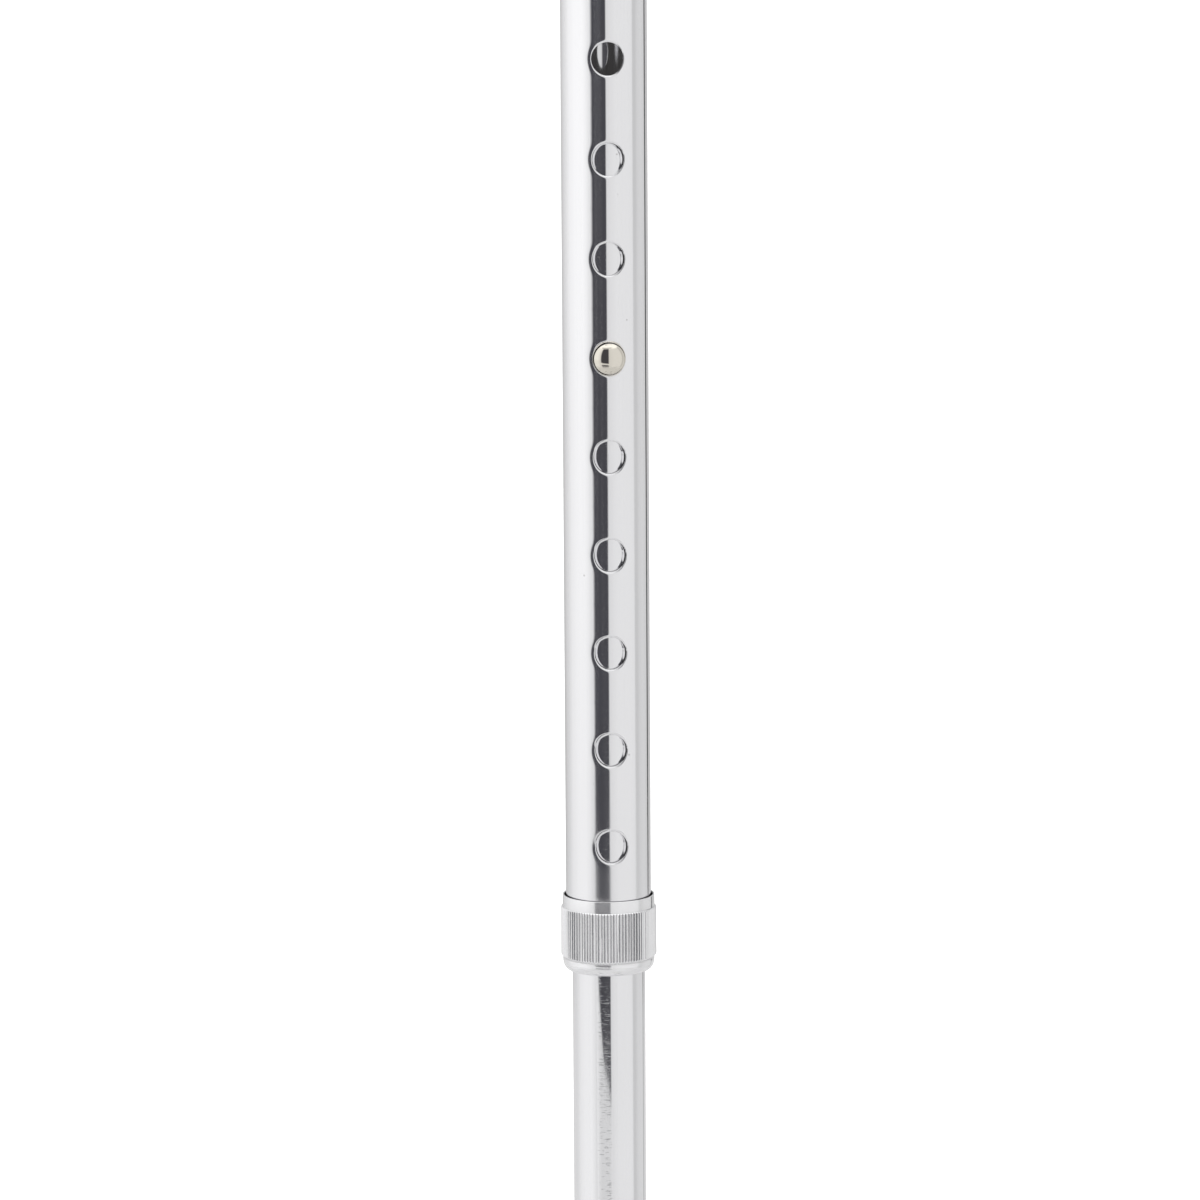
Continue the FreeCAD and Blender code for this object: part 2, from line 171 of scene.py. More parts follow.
def rounded(corners, radius, steps=4):
    """Round each inner corner of an outline, by the radius or as much as its edges allow."""
    corners = [np.array(corner, float) for corner in corners]
    outline = [corners[0]]
    for before, corner, after in zip(corners, corners[1:], corners[2:]):
        back, ahead = before - corner, after - corner
        back_length, ahead_length = np.linalg.norm(back), np.linalg.norm(ahead)
        cosine = np.dot(back, ahead) / (back_length * ahead_length)
        half_angle = math.acos(max(-1.0, min(1.0, cosine))) / 2
        cut = min(radius / math.tan(half_angle), 0.45 * back_length, 0.45 * ahead_length)
        start = corner + back * cut / back_length
        end = corner + ahead * cut / ahead_length
        for share in np.linspace(0, 1, steps + 1):
            outline.append((1 - share) ** 2 * start + 2 * share * (1 - share) * corner + share ** 2 * end)
    outline.append(corners[-1])
    return outline


def smooth_line(points, steps):
    """Smooth curve through points, each run between two of them in the same number of steps."""
    points = np.array(points, float)
    padded = np.concatenate([2 * points[:1] - points[1:2], points, 2 * points[-1:] - points[-2:-1]])
    line = []
    for before, start, end, after in zip(padded, padded[1:], padded[2:], padded[3:]):
        for share in np.linspace(0, 1, steps, endpoint=False):
            bend = 2 * before - 5 * start + 4 * end - after
            twist = 3 * start - before - 3 * end + after
            line.append(start + 0.5 * share * (end - before + share * (bend + share * twist)))
    line.append(points[-1])
    return line


def millimetres(outline):
    return [np.array(point, float) * MM for point in outline]


def shaft_point(radius, angle, height):
    """Point round the shaft. Angle 0 faces -Y and grows towards +X."""
    radius, angle, height = np.broadcast_arrays(radius, angle, height)
    return np.stack([SHAFT.x + radius * np.sin(angle), SHAFT.y - radius * np.cos(angle), height], -1)


# ==== Straight tubes with holes in their front or back

FRONT, RIGHT, BACK, LEFT = range(4)
OUTSIDE, INSIDE, KNURLED = range(3)


class TubeWall:
    """Wall of a straight tube round the shaft, in four zones, with holes punched in it."""

    HOLE_CELLS = 18
    PLAIN_CELLS = 26
    BAND_CELLS = 24
    PATCH_HALF = 8.4 * MM
    RIM = 0.16 * MM
    SINK = 0.24 * MM
    SINK_REACH = 0.50 * MM
    REACH_ABOVE = 0.45
    SHEET_ROWS = 20
    INNER_ROWS = 5
    ROW_CROWDING = 1.8

    def __init__(self, outer, inner, sink=SINK):
        self.outer = outer
        self.inner = inner
        self.sink = sink
        self.half = self.PATCH_HALF / outer
        self.shell = Shell()
        side = math.pi - self.half
        self.zones = [
            np.linspace(-self.half, self.half, self.HOLE_CELLS + 1),
            np.linspace(self.half, side, self.PLAIN_CELLS + 1),
            np.linspace(side, 2 * math.pi - side, self.HOLE_CELLS + 1),
            np.linspace(2 * math.pi - side, 2 * math.pi - self.half, self.PLAIN_CELLS + 1),
        ]

    def plain(self, zone, low, high, cells):
        angle, height = np.meshgrid(self.zones[zone], np.linspace(low, high, cells + 1))
        coords = np.stack([angle * self.outer, height], -1)
        self.shell.grid(shaft_point(self.outer, angle, height), coords, OUTSIDE)
        self.shell.grid(shaft_point(self.inner, angle, height), coords, INSIDE)

    def border(self, half_height):
        """Edge of a patch of wall, anticlockwise from its lower left corner: angle and height."""
        across = np.linspace(-self.half, self.half, self.HOLE_CELLS + 1)
        up = np.linspace(-half_height, half_height, self.BAND_CELLS + 1)
        return np.array(
            [(angle, -half_height) for angle in across[:-1]] + [(self.half, z) for z in up[:-1]]
            + [(angle, half_height) for angle in across[:0:-1]] + [(-self.half, z) for z in up[::-1]]
        )

    def punched(self, zone, low, high, hole):
        """Patch of wall with a hole: sunken edge, rounded rim, straight bore, inner face."""
        centre_angle = self.zones[zone].mean()
        centre_z = (low + high) / 2
        border = self.border((high - low) / 2)
        turn = np.arctan2(border[:, 1], border[:, 0] * self.outer)
        rim = hole + self.RIM
        reach = self.SINK_REACH * (self.REACH_ABOVE + (1 - self.REACH_ABOVE) * np.cos(turn) ** 2)
        sunk = self.outer - self.sink

        def to_border(radius, start_angle, start_z, steps, sink):
            sheet = []
            for share in np.linspace(0, 1, steps) ** self.ROW_CROWDING:
                angle = start_angle + share * (border[:, 0] - start_angle)
                z = start_z + share * (border[:, 1] - start_z)
                gone = np.hypot(angle * self.outer, z) - rim
                depth = sink * np.exp(-gone / reach) * (1 - share ** 2)
                sheet.append(shaft_point(radius - depth, centre_angle + angle, centre_z + z))
            return sheet

        rim_angle = np.arcsin(rim * np.cos(turn) / self.outer)
        rows = to_border(self.outer, rim_angle, rim * np.sin(turn), self.SHEET_ROWS, self.sink)
        rows.reverse()
        bend = np.linspace(0, math.pi / 2, 7)[1:]
        steps = [(self.RIM * (1 - math.cos(t)), self.RIM * (1 - math.sin(t))) for t in bend]
        steps += [(share * (sunk - self.inner), 0) for share in (0.4, 0.7, 1.0)]
        for depth, spare in steps:
            x = sunk * np.cos(turn) * (hole + spare) / self.outer
            z = (hole + spare) * np.sin(turn)
            angle = np.arcsin(x / (sunk - depth))
            rows.append(shaft_point(sunk - depth, centre_angle + angle, centre_z + z))
        self.add_patch(zone, rows, OUTSIDE)
        inner_angle = np.arcsin(sunk * np.cos(turn) * hole / self.outer / self.inner)
        inner_rows = to_border(self.inner, inner_angle, hole * np.sin(turn), self.INNER_ROWS, 0)
        self.add_patch(zone, inner_rows, INSIDE)

    def add_patch(self, zone, rows, slot):
        points = np.stack(rows)
        facing, start = (1, 0) if zone == FRONT else (-1, math.pi)
        away = (points - np.array(SHAFT)) * facing
        angle = np.arctan2(away[..., 0], -away[..., 1]) + start
        self.shell.grid(points, np.stack([angle * self.outer, points[..., 2]], -1), slot)

    def straight(self, low, high, holes):
        """Stack bands from low to high. holes lists (height, radius, band height, zones)."""
        at = low
        for height, radius, band, zones in holes:
            start = height - band / 2
            if start > at + 1e-6:
                self.all_round(at, start)
            for zone in range(4):
                if zone in zones:
                    self.punched(zone, start, start + band, radius)
                else:
                    self.plain(zone, start, start + band, self.BAND_CELLS)
            at = start + band
        self.all_round(at, high)

    def all_round(self, low, high):
        for zone in range(4):
            self.plain(zone, low, high, 1)

    def end(self, height, outwards):
        """Flat end with both its edges rounded a little, beyond the last band."""
        edge = self.RIM
        beside, above = 0.3 * edge, 0.7 * edge
        outline = [
            (self.outer, 0), (self.outer - beside, above), (self.outer - edge, edge),
            (self.inner + edge, edge), (self.inner + beside, above), (self.inner, 0),
        ]
        for zone in self.zones:
            radius, angle = np.meshgrid([r for r, _ in outline], zone, indexing="ij")
            z = height + outwards * np.array([[rise] for _, rise in outline])
            self.shell.grid(shaft_point(radius, angle, z), np.stack([angle * self.outer, radius], -1))


HEIGHT_HOLE = 4.2 * MM
BUTTON_HOLE = 4.1 * MM
BOLT_HOLE = 3.15 * MM
BOLT_BAND = 16 * MM
HOLE_STEPS = range(-5, 4)
SLIGHT_SINK = 0.03 * MM
STEM_PLAY = 0.1 * MM

NECK_ANGLE = math.radians(50)
NECK_LOW_R = 60 * MM
NECK_RUN = 55 * MM
NECK_HIGH_R = 42 * MM
NECK_LOW_RINGS = 25
NECK_HIGH_RINGS = 61


def neck_route():
    """Axis of the bent top of the outer tube, and its heading at each point."""
    low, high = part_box("upper_tube")
    axis_z = high.z - UPPER_R
    lean = NECK_ANGLE
    start_z = axis_z - NECK_HIGH_R * (1 + math.sin(lean)) - NECK_RUN * math.cos(lean)
    start_z -= NECK_LOW_R * math.sin(lean)
    points, leans = [], []
    for angle in np.linspace(0, lean, NECK_LOW_RINGS):
        points.append((NECK_LOW_R * (1 - math.cos(angle)), start_z + NECK_LOW_R * math.sin(angle)))
        leans.append(angle)
    run_x = points[-1][0] + NECK_RUN * math.sin(lean)
    run_z = points[-1][1] + NECK_RUN * math.cos(lean)
    centre_x = run_x - NECK_HIGH_R * math.cos(lean)
    centre_z = run_z + NECK_HIGH_R * math.sin(lean)
    for angle in np.linspace(lean, -math.pi / 2, NECK_HIGH_RINGS):
        points.append((centre_x + NECK_HIGH_R * math.cos(angle), centre_z - NECK_HIGH_R * math.sin(angle)))
        leans.append(angle)
    points.append((low.x, axis_z))
    leans.append(-math.pi / 2)
    route = np.array([(SHAFT.x + x, SHAFT.y, z) for x, z in points])
    headings = np.array([(math.sin(angle), 0, math.cos(angle)) for angle in leans])
    return start_z, route, headings


def make_upper_tube():
    wall = TubeWall(UPPER_R, UPPER_R - SHAFT_WALL)
    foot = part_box("upper_tube")[0].z
    start_z, route, headings = neck_route()
    holes = [(BUTTON_Z + step * INCH, HEIGHT_HOLE, INCH, (FRONT,)) for step in HOLE_STEPS]
    wall.straight(foot + wall.RIM, start_z, holes)
    wall.end(foot + wall.RIM, -1)
    for zone in wall.zones:
        rings = []
        for slot, radius in ((OUTSIDE, wall.outer), (INSIDE, wall.inner)):
            rings.append(wall.shell.swept(route, headings, TOWARDS_X, radius, zone, slot)[1])
        wall.shell.grid(np.stack(rings))
    return wall.shell.build("outer_tube")


def make_sleeve(name, node, outer, inner, holes):
    """Straight tube with two plain ends."""
    wall = TubeWall(outer, inner, sink=SLIGHT_SINK)
    low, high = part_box(node)
    wall.straight(low.z + wall.RIM, high.z - wall.RIM, holes)
    wall.end(low.z + wall.RIM, -1)
    wall.end(high.z - wall.RIM, 1)
    return wall.shell.build(name)


def make_lower_tube():
    holes = [(BOLT_Z, BOLT_HOLE, BOLT_BAND, (FRONT, BACK)), (BUTTON_Z, BUTTON_HOLE, INCH, (FRONT,))]
    return make_sleeve("inner_tube", "lower_tube", LOWER_R, LOWER_R - SHAFT_WALL, holes)


def make_stem():
    holes = [(BOLT_Z, BOLT_HOLE, BOLT_BAND, (FRONT, BACK))]
    return make_sleeve("base_socket", "base_stem", STEM_R, LOWER_R + STEM_PLAY, holes)


# ==== Lock nut: heights in millimetres below the button's axis

NUT_TOP = 141.2
NUT_FOOT = 161.2
LIP_R = 12.02
LIP_FOOT = 144.1
LIP_BORE_R = 11.58
LIP_BORE_FOOT = 146.2
THREAD_R = 11.17
CONE_TOP = 157.0
CONE_FOOT = 160.4
FOOT_R = 9.78
FOOT_BORE_R = 9.70
SHOULDER_R = 11.97
SHOULDER_GROOVE_R = 11.92
SHOULDER_EDGE = 158.05
SHOULDER_TOP = 158.4
SHOULDER_FULLNESS = 0.86
SHOULDER_ROWS = 22

KNURL_TEETH = 97
KNURL_CREST = 12.50 * MM
KNURL_ROOT = 12.11 * MM
KNURL_TOP = 144.25
KNURL_FOOT = 157.6
KNURL_SHARPNESS = 0.9
KNURL_RUN_OUT = 1.1
KNURL_JITTER = 0.10
KNURL_LEAN = 0.05
LEAST_TOOTH = 0.80
COLUMNS_PER_TOOTH = 8


def below_button(depth):
    return BUTTON_Z - depth * MM


def knurl_shape():
    """Radii of the knurl: uneven flutes with rounded crests that fade out at both ends."""
    jitter = random_draw.uniform(-KNURL_JITTER, KNURL_JITTER, KNURL_TEETH)
    height_of = random_draw.uniform(LEAST_TOOTH, 1.0, KNURL_TEETH)
    lean = random_draw.uniform(-KNURL_LEAN, KNURL_LEAN, KNURL_TEETH)
    top = below_button(KNURL_TOP)
    foot = below_button(KNURL_FOOT)

    def shape(radius, height, angle):
        place = angle / (2 * math.pi) * KNURL_TEETH
        tooth = np.floor(place).astype(int) % KNURL_TEETH
        share = (height - foot) / (top - foot)
        phase = place - np.floor(place) - 0.5
        shift = jitter[tooth] + lean[tooth] * (share - 0.5)
        crest = 0.5 + 0.5 * np.cos(2 * math.pi * (phase - shift * np.cos(math.pi * phase) ** 2))
        fluted = KNURL_ROOT + (KNURL_CREST - KNURL_ROOT) * crest ** KNURL_SHARPNESS * height_of[tooth]
        from_end = np.minimum(height - foot, top - height)
        run_out = radius + np.maximum(from_end, 0) * KNURL_RUN_OUT
        return np.where(from_end < -1e-9, radius, np.minimum(fluted, run_out))

    return shape


def make_nut():
    inside = [
        (FOOT_R, NUT_FOOT), (FOOT_BORE_R, NUT_FOOT - 0.1), (FOOT_BORE_R, CONE_FOOT), (THREAD_R, CONE_TOP),
        (THREAD_R, LIP_BORE_FOOT), (LIP_BORE_R, LIP_BORE_FOOT), (LIP_BORE_R, NUT_TOP + 0.25),
    ]
    lip = rounded([inside[-1], (LIP_BORE_R + 0.02, NUT_TOP), (LIP_R, NUT_TOP), (LIP_R, LIP_FOOT)], 0.2, 6)
    upper_rows = [KNURL_TOP, *np.linspace(KNURL_TOP + 0.06, KNURL_TOP + 0.6, 9)]
    upper_rows += [*np.linspace(KNURL_TOP + 1.4, KNURL_FOOT - 1.4, 12)]
    knurl = [(LIP_R, depth) for depth in upper_rows]
    knurl += [(SHOULDER_GROOVE_R, depth) for depth in np.linspace(KNURL_FOOT - 0.7, KNURL_FOOT, 9)]
    shoulder = rounded([knurl[-1], (SHOULDER_R, SHOULDER_EDGE), (SHOULDER_R, SHOULDER_TOP)], 0.08)
    for turn in np.linspace(0, math.pi / 2, SHOULDER_ROWS)[1:]:
        radius = FOOT_R + (SHOULDER_R - FOOT_R) * math.cos(turn) ** SHOULDER_FULLNESS
        shoulder.append((radius, SHOULDER_TOP + (NUT_FOOT - SHOULDER_TOP) * math.sin(turn)))
    outline = inside + lip + knurl + shoulder[1:]
    points = [(radius * MM, below_button(depth)) for radius, depth in outline]
    shell = Shell()
    axis = Axis((SHAFT.x, SHAFT.y, 0))
    first, last = len(inside) + len(lip), len(inside) + len(lip) + len(knurl)
    columns = KNURL_TEETH * COLUMNS_PER_TOOTH
    shell.turned(axis, points[:len(inside)], columns, slot=INSIDE)
    shell.turned(axis, points[len(inside) - 1:first], columns)
    shell.turned(axis, points[first - 1:last], columns, knurl_shape(), KNURLED)
    shell.turned(axis, points[last - 1:], columns)
    return shell.build("lock_nut_knurled", sharp_degrees=60)


# ==== Snap button

BUTTON_R = 3.95
BUTTON_RIM = 11.4
BUTTON_TOP = 13.1
DOME_EDGE = math.radians(68)
RIVET_END = 6.05
RIVET_HEAD_R = 2.2
RIVET_R = 1.5
LEAF_BACK = 6.65
LEAF_FACE = 7.35


def make_button():
    """Domed pin, turned about a line out of the front hole. Distances from the shaft's axis."""
    across = BUTTON_R / math.sin(DOME_EDGE)
    deep = (BUTTON_TOP - BUTTON_RIM) / (1 - math.cos(DOME_EDGE))
    turns = np.linspace(DOME_EDGE, 0, 28)
    dome = [(across * math.sin(turn), BUTTON_TOP - deep * (1 - math.cos(turn))) for turn in turns]
    tail = [(0, RIVET_END), (RIVET_HEAD_R, RIVET_END), (RIVET_HEAD_R, LEAF_BACK), (RIVET_R, LEAF_BACK)]
    tail += [(RIVET_R, LEAF_FACE), (BUTTON_R, LEAF_FACE), (BUTTON_R, BUTTON_RIM - 0.1)]
    shell = Shell()
    axis = Axis((SHAFT.x, SHAFT.y, BUTTON_Z), along=(0, -1, 0))
    shell.turned(axis, millimetres(rounded(tail + dome[:2], 0.12)[:-1] + dome[1:]))
    return shell.build("domed_button", sharp_degrees=50)


# ==== Grip: heights in millimetres from its front end, radii from the handle's axis

GRIP_PROFILE = (
    (14.3, 1.5), (15.0, 6), (14.3, 20), (15.8, 45), (16.7, 68), (15.6, 93), (16.2, 111), (15.0, 117.5),
)
GRIP_LENGTH = 121
GRIP_MEAN_R = 15.6
GRIP_COLLAR_GROOVES = (8.0, 10.6)
GROOVE_DEPTH = 0.45
GROOVE_HALF = 0.55
FINGER_WAVES = (31.0, 50.0, 69.0, 88.0)
FINGER_HALF = 6.2
FINGER_DEPTH = 1.5
PIT_PITCH = 3.4
PIT_DEPTH = 0.5
PITTED = (20, 104)
PITTED_FADE = 1.2
GRIP_TUBE_END = 117.0
GRIP_FRONT_CORNER = 1.5
GRIP_REAR_CAP_R = 10.5
GRIP_FULLNESS = 0.9
GRIP_COLUMNS = 216


def grip_shape(radius, height, angle):
    """Press finger hollows into the underside, pits into the palm side, and two collar grooves.

    The hollows start at nothing on the front face, so that the face meets the bore.
    """
    along = height / MM
    down = np.clip(np.cos(angle), 0, 1) ** 1.4
    hollow = sum(np.exp(-((along - place) / FINGER_HALF) ** 2) for place in FINGER_WAVES)
    pressed = FINGER_DEPTH * down * hollow
    palm = np.clip(-np.cos(angle) * 2.2, 0, 1)
    first, last = PITTED
    body = 1 / (1 + np.exp(-(along - first) / PITTED_FADE)) / (1 + np.exp((along - last) / PITTED_FADE))
    pits = np.cos(math.pi * angle * GRIP_MEAN_R / PIT_PITCH) * np.cos(math.pi * along / PIT_PITCH)
    pressed = pressed + PIT_DEPTH * body * palm * np.clip(np.abs(pits) * 1.9 - 0.75, 0, 1)
    for place in GRIP_COLLAR_GROOVES:
        pressed = pressed + GROOVE_DEPTH * np.exp(-((along - place) / GROOVE_HALF) ** 4)
    return radius - np.clip(along / GRIP_FRONT_CORNER, 0, 1) * pressed * MM


def make_grip():
    low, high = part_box("handle_grip")
    axis = Axis((high.x, SHAFT.y, (low.z + high.z) / 2), along=(-1, 0, 0), side=(0, 0, -1))
    side = smooth_line(GRIP_PROFILE, 26)
    front = rounded([(UPPER_R / MM, 0), (13.0, 0), tuple(side[0])], 1.2, 6)
    rear_r, rear_start = GRIP_PROFILE[-1]
    rear = [side[-1]]
    for turn in np.linspace(0, math.pi / 2, 12)[1:]:
        radius = GRIP_REAR_CAP_R + (rear_r - GRIP_REAR_CAP_R) * math.cos(turn) ** GRIP_FULLNESS
        rear.append((radius, rear_start + (GRIP_LENGTH - rear_start) * math.sin(turn)))
    inside = [(0, GRIP_TUBE_END), (UPPER_R / MM, GRIP_TUBE_END), (UPPER_R / MM, 0)]
    shell = Shell()
    shell.turned(axis, millimetres(front + side[1:]), GRIP_COLUMNS, grip_shape)
    shell.turned(axis, millimetres(rear + [(6, GRIP_LENGTH), (0, GRIP_LENGTH)]), GRIP_COLUMNS)
    shell.turned(axis, millimetres(inside), GRIP_COLUMNS)
    return shell.build("moulded_grip", sharp_degrees=45)


# ==== Base: leg tubes, plate, weld beads and the cross bolt

LEG_R = 0.625 * INCH / 2
LEG_WALL = 1.4 * MM
LEG_COLUMNS = 64
BEND_STEPS = 21
HUB_Z = 97 * MM
HUB_HALF_X = 22 * MM
HUB_BEND_R = 28 * MM
KNEE_Z = 80 * MM
KNEE_BEND_R = 32 * MM


def rounded_route(corners, radii):
    """Straight runs through the corners, with a tangent arc at each inner one."""
    route = [corners[0]]
    for before, corner, after, radius in zip(corners, corners[1:], corners[2:], radii):
        incoming = (corner - before).normalized()
        outgoing = (after - corner).normalized()
        turn = incoming.angle(outgoing)
        start = corner - incoming * radius * math.tan(turn / 2)
        centre = corner + (outgoing - incoming).normalized() * radius / math.cos(turn / 2)
        hinge = incoming.cross(outgoing)
        for share in np.linspace(0, 1, BEND_STEPS):
            route.append(centre + Quaternion(hinge, share * turn) @ (start - centre))
    route.append(corners[-1])
    return np.array([tuple(point) for point in route])


def directions(route):
    heading = np.gradient(route, axis=0)
    return heading / np.linalg.norm(heading, axis=1)[:, None]


def leg_route(node, feet):
    """Axis of one leg tube, from its rear foot over both knees to its front foot."""
    foot = middle(feet[0])
    end_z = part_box(node)[0].z
    hub_y = SHAFT.y + math.copysign(STEM_R + LEG_R, foot.y - SHAFT.y)
    half = [
        Vector((foot.x, foot.y, end_z)),
        Vector((foot.x, foot.y, KNEE_Z)),
        Vector((SHAFT.x + math.copysign(HUB_HALF_X, foot.x), hub_y, HUB_Z)),
    ]
    across = [Vector((2 * SHAFT.x - point.x, point.y, point.z)) for point in reversed(half)]
    return rounded_route(half + across, [KNEE_BEND_R, HUB_BEND_R, HUB_BEND_R, KNEE_BEND_R])


def make_leg(name, node, feet):
    route = leg_route(node, feet)
    shell = Shell()
    angles = np.linspace(0, 2 * math.pi, LEG_COLUMNS + 1)
    outer = shell.swept(route, directions(route), TOWARDS_X, LEG_R, angles, OUTSIDE)
    inner = shell.swept(route, directions(route), TOWARDS_X, LEG_R - LEG_WALL, angles, INSIDE)
    for outer_ring, inner_ring in zip(outer, inner):
        shell.grid(np.stack([outer_ring, inner_ring]))
    return shell.build(name)


PLATE_CORNER_R = 9 * MM
PLATE_EDGE = 0.7 * MM


def plate_outline(inset):
    """Rounded rectangle round the shaft, shrunk by an inset."""
    half = half_size("hub_plate")
    corner = max(PLATE_CORNER_R - inset, 0.4 * MM)
    outline = []
    for quarter, (sign_x, sign_y) in enumerate(((1, 1), (-1, 1), (-1, -1), (1, -1))):
        for share in np.linspace(0, 1, 10):
            angle = (quarter + share) * math.pi / 2
            x = sign_x * (half.x - inset - corner) + corner * math.cos(angle)
            y = sign_y * (half.y - inset - corner) + corner * math.sin(angle)
            outline.append((SHAFT.x + x, SHAFT.y + y))
    return outline + outline[:1]


def make_plate():
    low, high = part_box("hub_plate")
    edge = PLATE_EDGE
    half_y = half_size("hub_plate").y
    rows = [(half_y - MM, low.z), (edge, low.z), (0.3 * edge, low.z + 0.3 * edge), (0, low.z + edge)]
    rows += [(inset, low.z + high.z - z) for inset, z in reversed(rows)]
    sheet = [[(x, y, z) for x, y in plate_outline(inset)] for inset, z in rows]
    foot, top = ([(SHAFT.x, SHAFT.y, z)] * len(sheet[0]) for z in (low.z, high.z))
    shell = Shell()
    shell.grid(np.array([foot] + sheet + [top]))
    return shell.build("hub_plate_pressed")


BEAD_RIPPLE = 2.3 * MM
RIPPLE_HEIGHT = 0.13
RIPPLE_CHANCE = 0.05
SOCKET_BEAD_HALF = (6.2 * MM, 5.6 * MM)
SOCKET_BEAD_R = 1.35 * MM
PLATE_BEAD_HALF = 15 * MM
PLATE_BEAD_R = 1.5 * MM
PLATE_BEAD_OUT = 4.4 * MM
PLATE_BEAD_UP = 0.55 * MM


def make_bead(name, route, radius, closed=False):
    """Weld bead: a rippled bar along a route, its ends tapered unless it is closed."""
    run = run_along(route)
    ripple = 1 + RIPPLE_HEIGHT * np.abs(np.sin(run / BEAD_RIPPLE * math.pi))
    ripple = ripple + random_draw.uniform(-RIPPLE_CHANCE, RIPPLE_CHANCE, len(run))
    headings = directions(route)
    if closed:
        size = radius * ripple
        size[-1] = size[0]
        seam = headings[0] + headings[-1]
        headings[0] = headings[-1] = seam / np.linalg.norm(seam)
        side = np.cross(headings[0], headings[len(headings) // 3])
    else:
        taper = np.clip(np.minimum(run, run[-1] - run) / (2 * radius), 0, 1)
        size = radius * ripple * np.sqrt(taper)
        side = np.array([0, 0, 1.0])
    shell = Shell()
    shell.swept(route, headings, side, size, np.linspace(0, 2 * math.pi, 17))
    return shell.build(name, sharp_degrees=60)


def socket_bead(name, sign):
    """Ring of weld round the spot where a leg tube touches the socket."""
    turns = np.linspace(0, 2 * math.pi, 97)
    x = SOCKET_BEAD_HALF[0] * np.cos(turns)
    z = SOCKET_BEAD_HALF[1] * np.sin(turns)
    socket_y = np.sqrt(STEM_R ** 2 - x ** 2)
    leg_y = STEM_R + LEG_R - np.sqrt(LEG_R ** 2 - z ** 2)
    y = SHAFT.y + sign * (socket_y + 0.25 * (leg_y - socket_y))
    return make_bead(name, np.stack([SHAFT.x + x, y, HUB_Z + z], -1), SOCKET_BEAD_R, closed=True)


def plate_bead(name, sign):
    """Straight weld between a leg tube and the plate under it, on its outer side."""
    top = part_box("hub_plate")[1].z
    x = SHAFT.x + np.linspace(-PLATE_BEAD_HALF, PLATE_BEAD_HALF, 73)
    y = np.full(len(x), SHAFT.y + sign * (STEM_R + LEG_R + PLATE_BEAD_OUT))
    z = top + PLATE_BEAD_UP + random_draw.uniform(-0.06, 0.06, len(x)) * MM
    return make_bead(name, np.stack([x, y, z], -1), PLATE_BEAD_R)


def hexagon_shape(flats, top, bottom=None):
    """Hexagon across its flats, with the corners of its outer ends turned down to a cone."""
    def shape(radius, height, angle):
        sixth = math.pi / 3
        hexagon = flats / 2 / np.cos((angle + sixth / 2) % sixth - sixth / 2)
        room = top - height if bottom is None else np.minimum(top - height, height - bottom)
        cone = flats / 2 * 0.98 + room / math.tan(CHAMFER_ANGLE)
        return np.where(radius >= flats / 2 * 0.99, np.minimum(hexagon, cone), radius)
    return shape


CHAMFER_ANGLE = math.radians(30)
BOLT_FLATS = 10 * MM
FLAT_FACE_R = BOLT_FLATS / 2 * 0.93
BOLT_HEAD = 4 * MM
BOLT_R = 3 * MM
BOLT_CHAMFER = 0.6 * MM
THREAD_PITCH = 1 * MM
THREAD_DEPTH = 0.5 * MM
THREAD_LENGTH = 9 * MM
HEAD_MARK = ((3.2 * MM, 0.02 * MM), (2.9 * MM, 0.3 * MM), (0, 0.35 * MM))
NUT_BORE_R = 3.05 * MM
NUT_COLLAR = 1.5 * MM
NUT_COLLAR_R = BOLT_FLATS / 2 - 0.4 * MM
WASHER = 1.2 * MM
WASHER_R = 6 * MM
HEX_COLUMNS = 120


def bolt_axis():
    return Axis((SHAFT.x, SHAFT.y, BOLT_Z), along=(0, -1, 0), side=(1, 0, 0))


def thread_shape(start, end):
    """V thread that runs out at its two ends."""
    def shape(radius, height, angle):
        turn = (height / THREAD_PITCH - angle / (2 * math.pi)) % 1
        depth = np.abs(turn - 0.5) * 2
        fade = np.clip(np.minimum(height - start, end - height) / THREAD_PITCH, 0, 1)
        return np.where(radius > BOLT_R * 0.99, radius - THREAD_DEPTH * depth * fade, radius)
    return shape


def make_bolt():
    low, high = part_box("base_bolt")
    front = SHAFT.y - low.y
    back = SHAFT.y - high.y
    thread_start, thread_end = back + BOLT_CHAMFER, back + THREAD_LENGTH
    under_head = front - BOLT_HEAD
    end = [(0, back), (BOLT_R - BOLT_CHAMFER, back), (BOLT_R, thread_start)]
    threaded = [(BOLT_R, height) for height in np.linspace(thread_start, thread_end, 85)]
    head = [(BOLT_R, thread_end), (BOLT_R, under_head), (FLAT_FACE_R, under_head)]
    head += [(BOLT_FLATS / 2, under_head + 0.15 * MM)]
    flat = np.linspace(under_head + 0.2 * MM, front - 0.05 * MM, 24)
    head += [(BOLT_FLATS / 2, height) for height in flat]
    head += [(FLAT_FACE_R, front)] + [(radius, front - sunk) for radius, sunk in HEAD_MARK]
    shell = Shell()
    shell.turned(bolt_axis(), end, HEX_COLUMNS)
    shell.turned(bolt_axis(), threaded, HEX_COLUMNS, thread_shape(thread_start, thread_end))
    shell.turned(bolt_axis(), head, HEX_COLUMNS, hexagon_shape(BOLT_FLATS, front))
    return shell.build("cross_bolt", sharp_degrees=28)


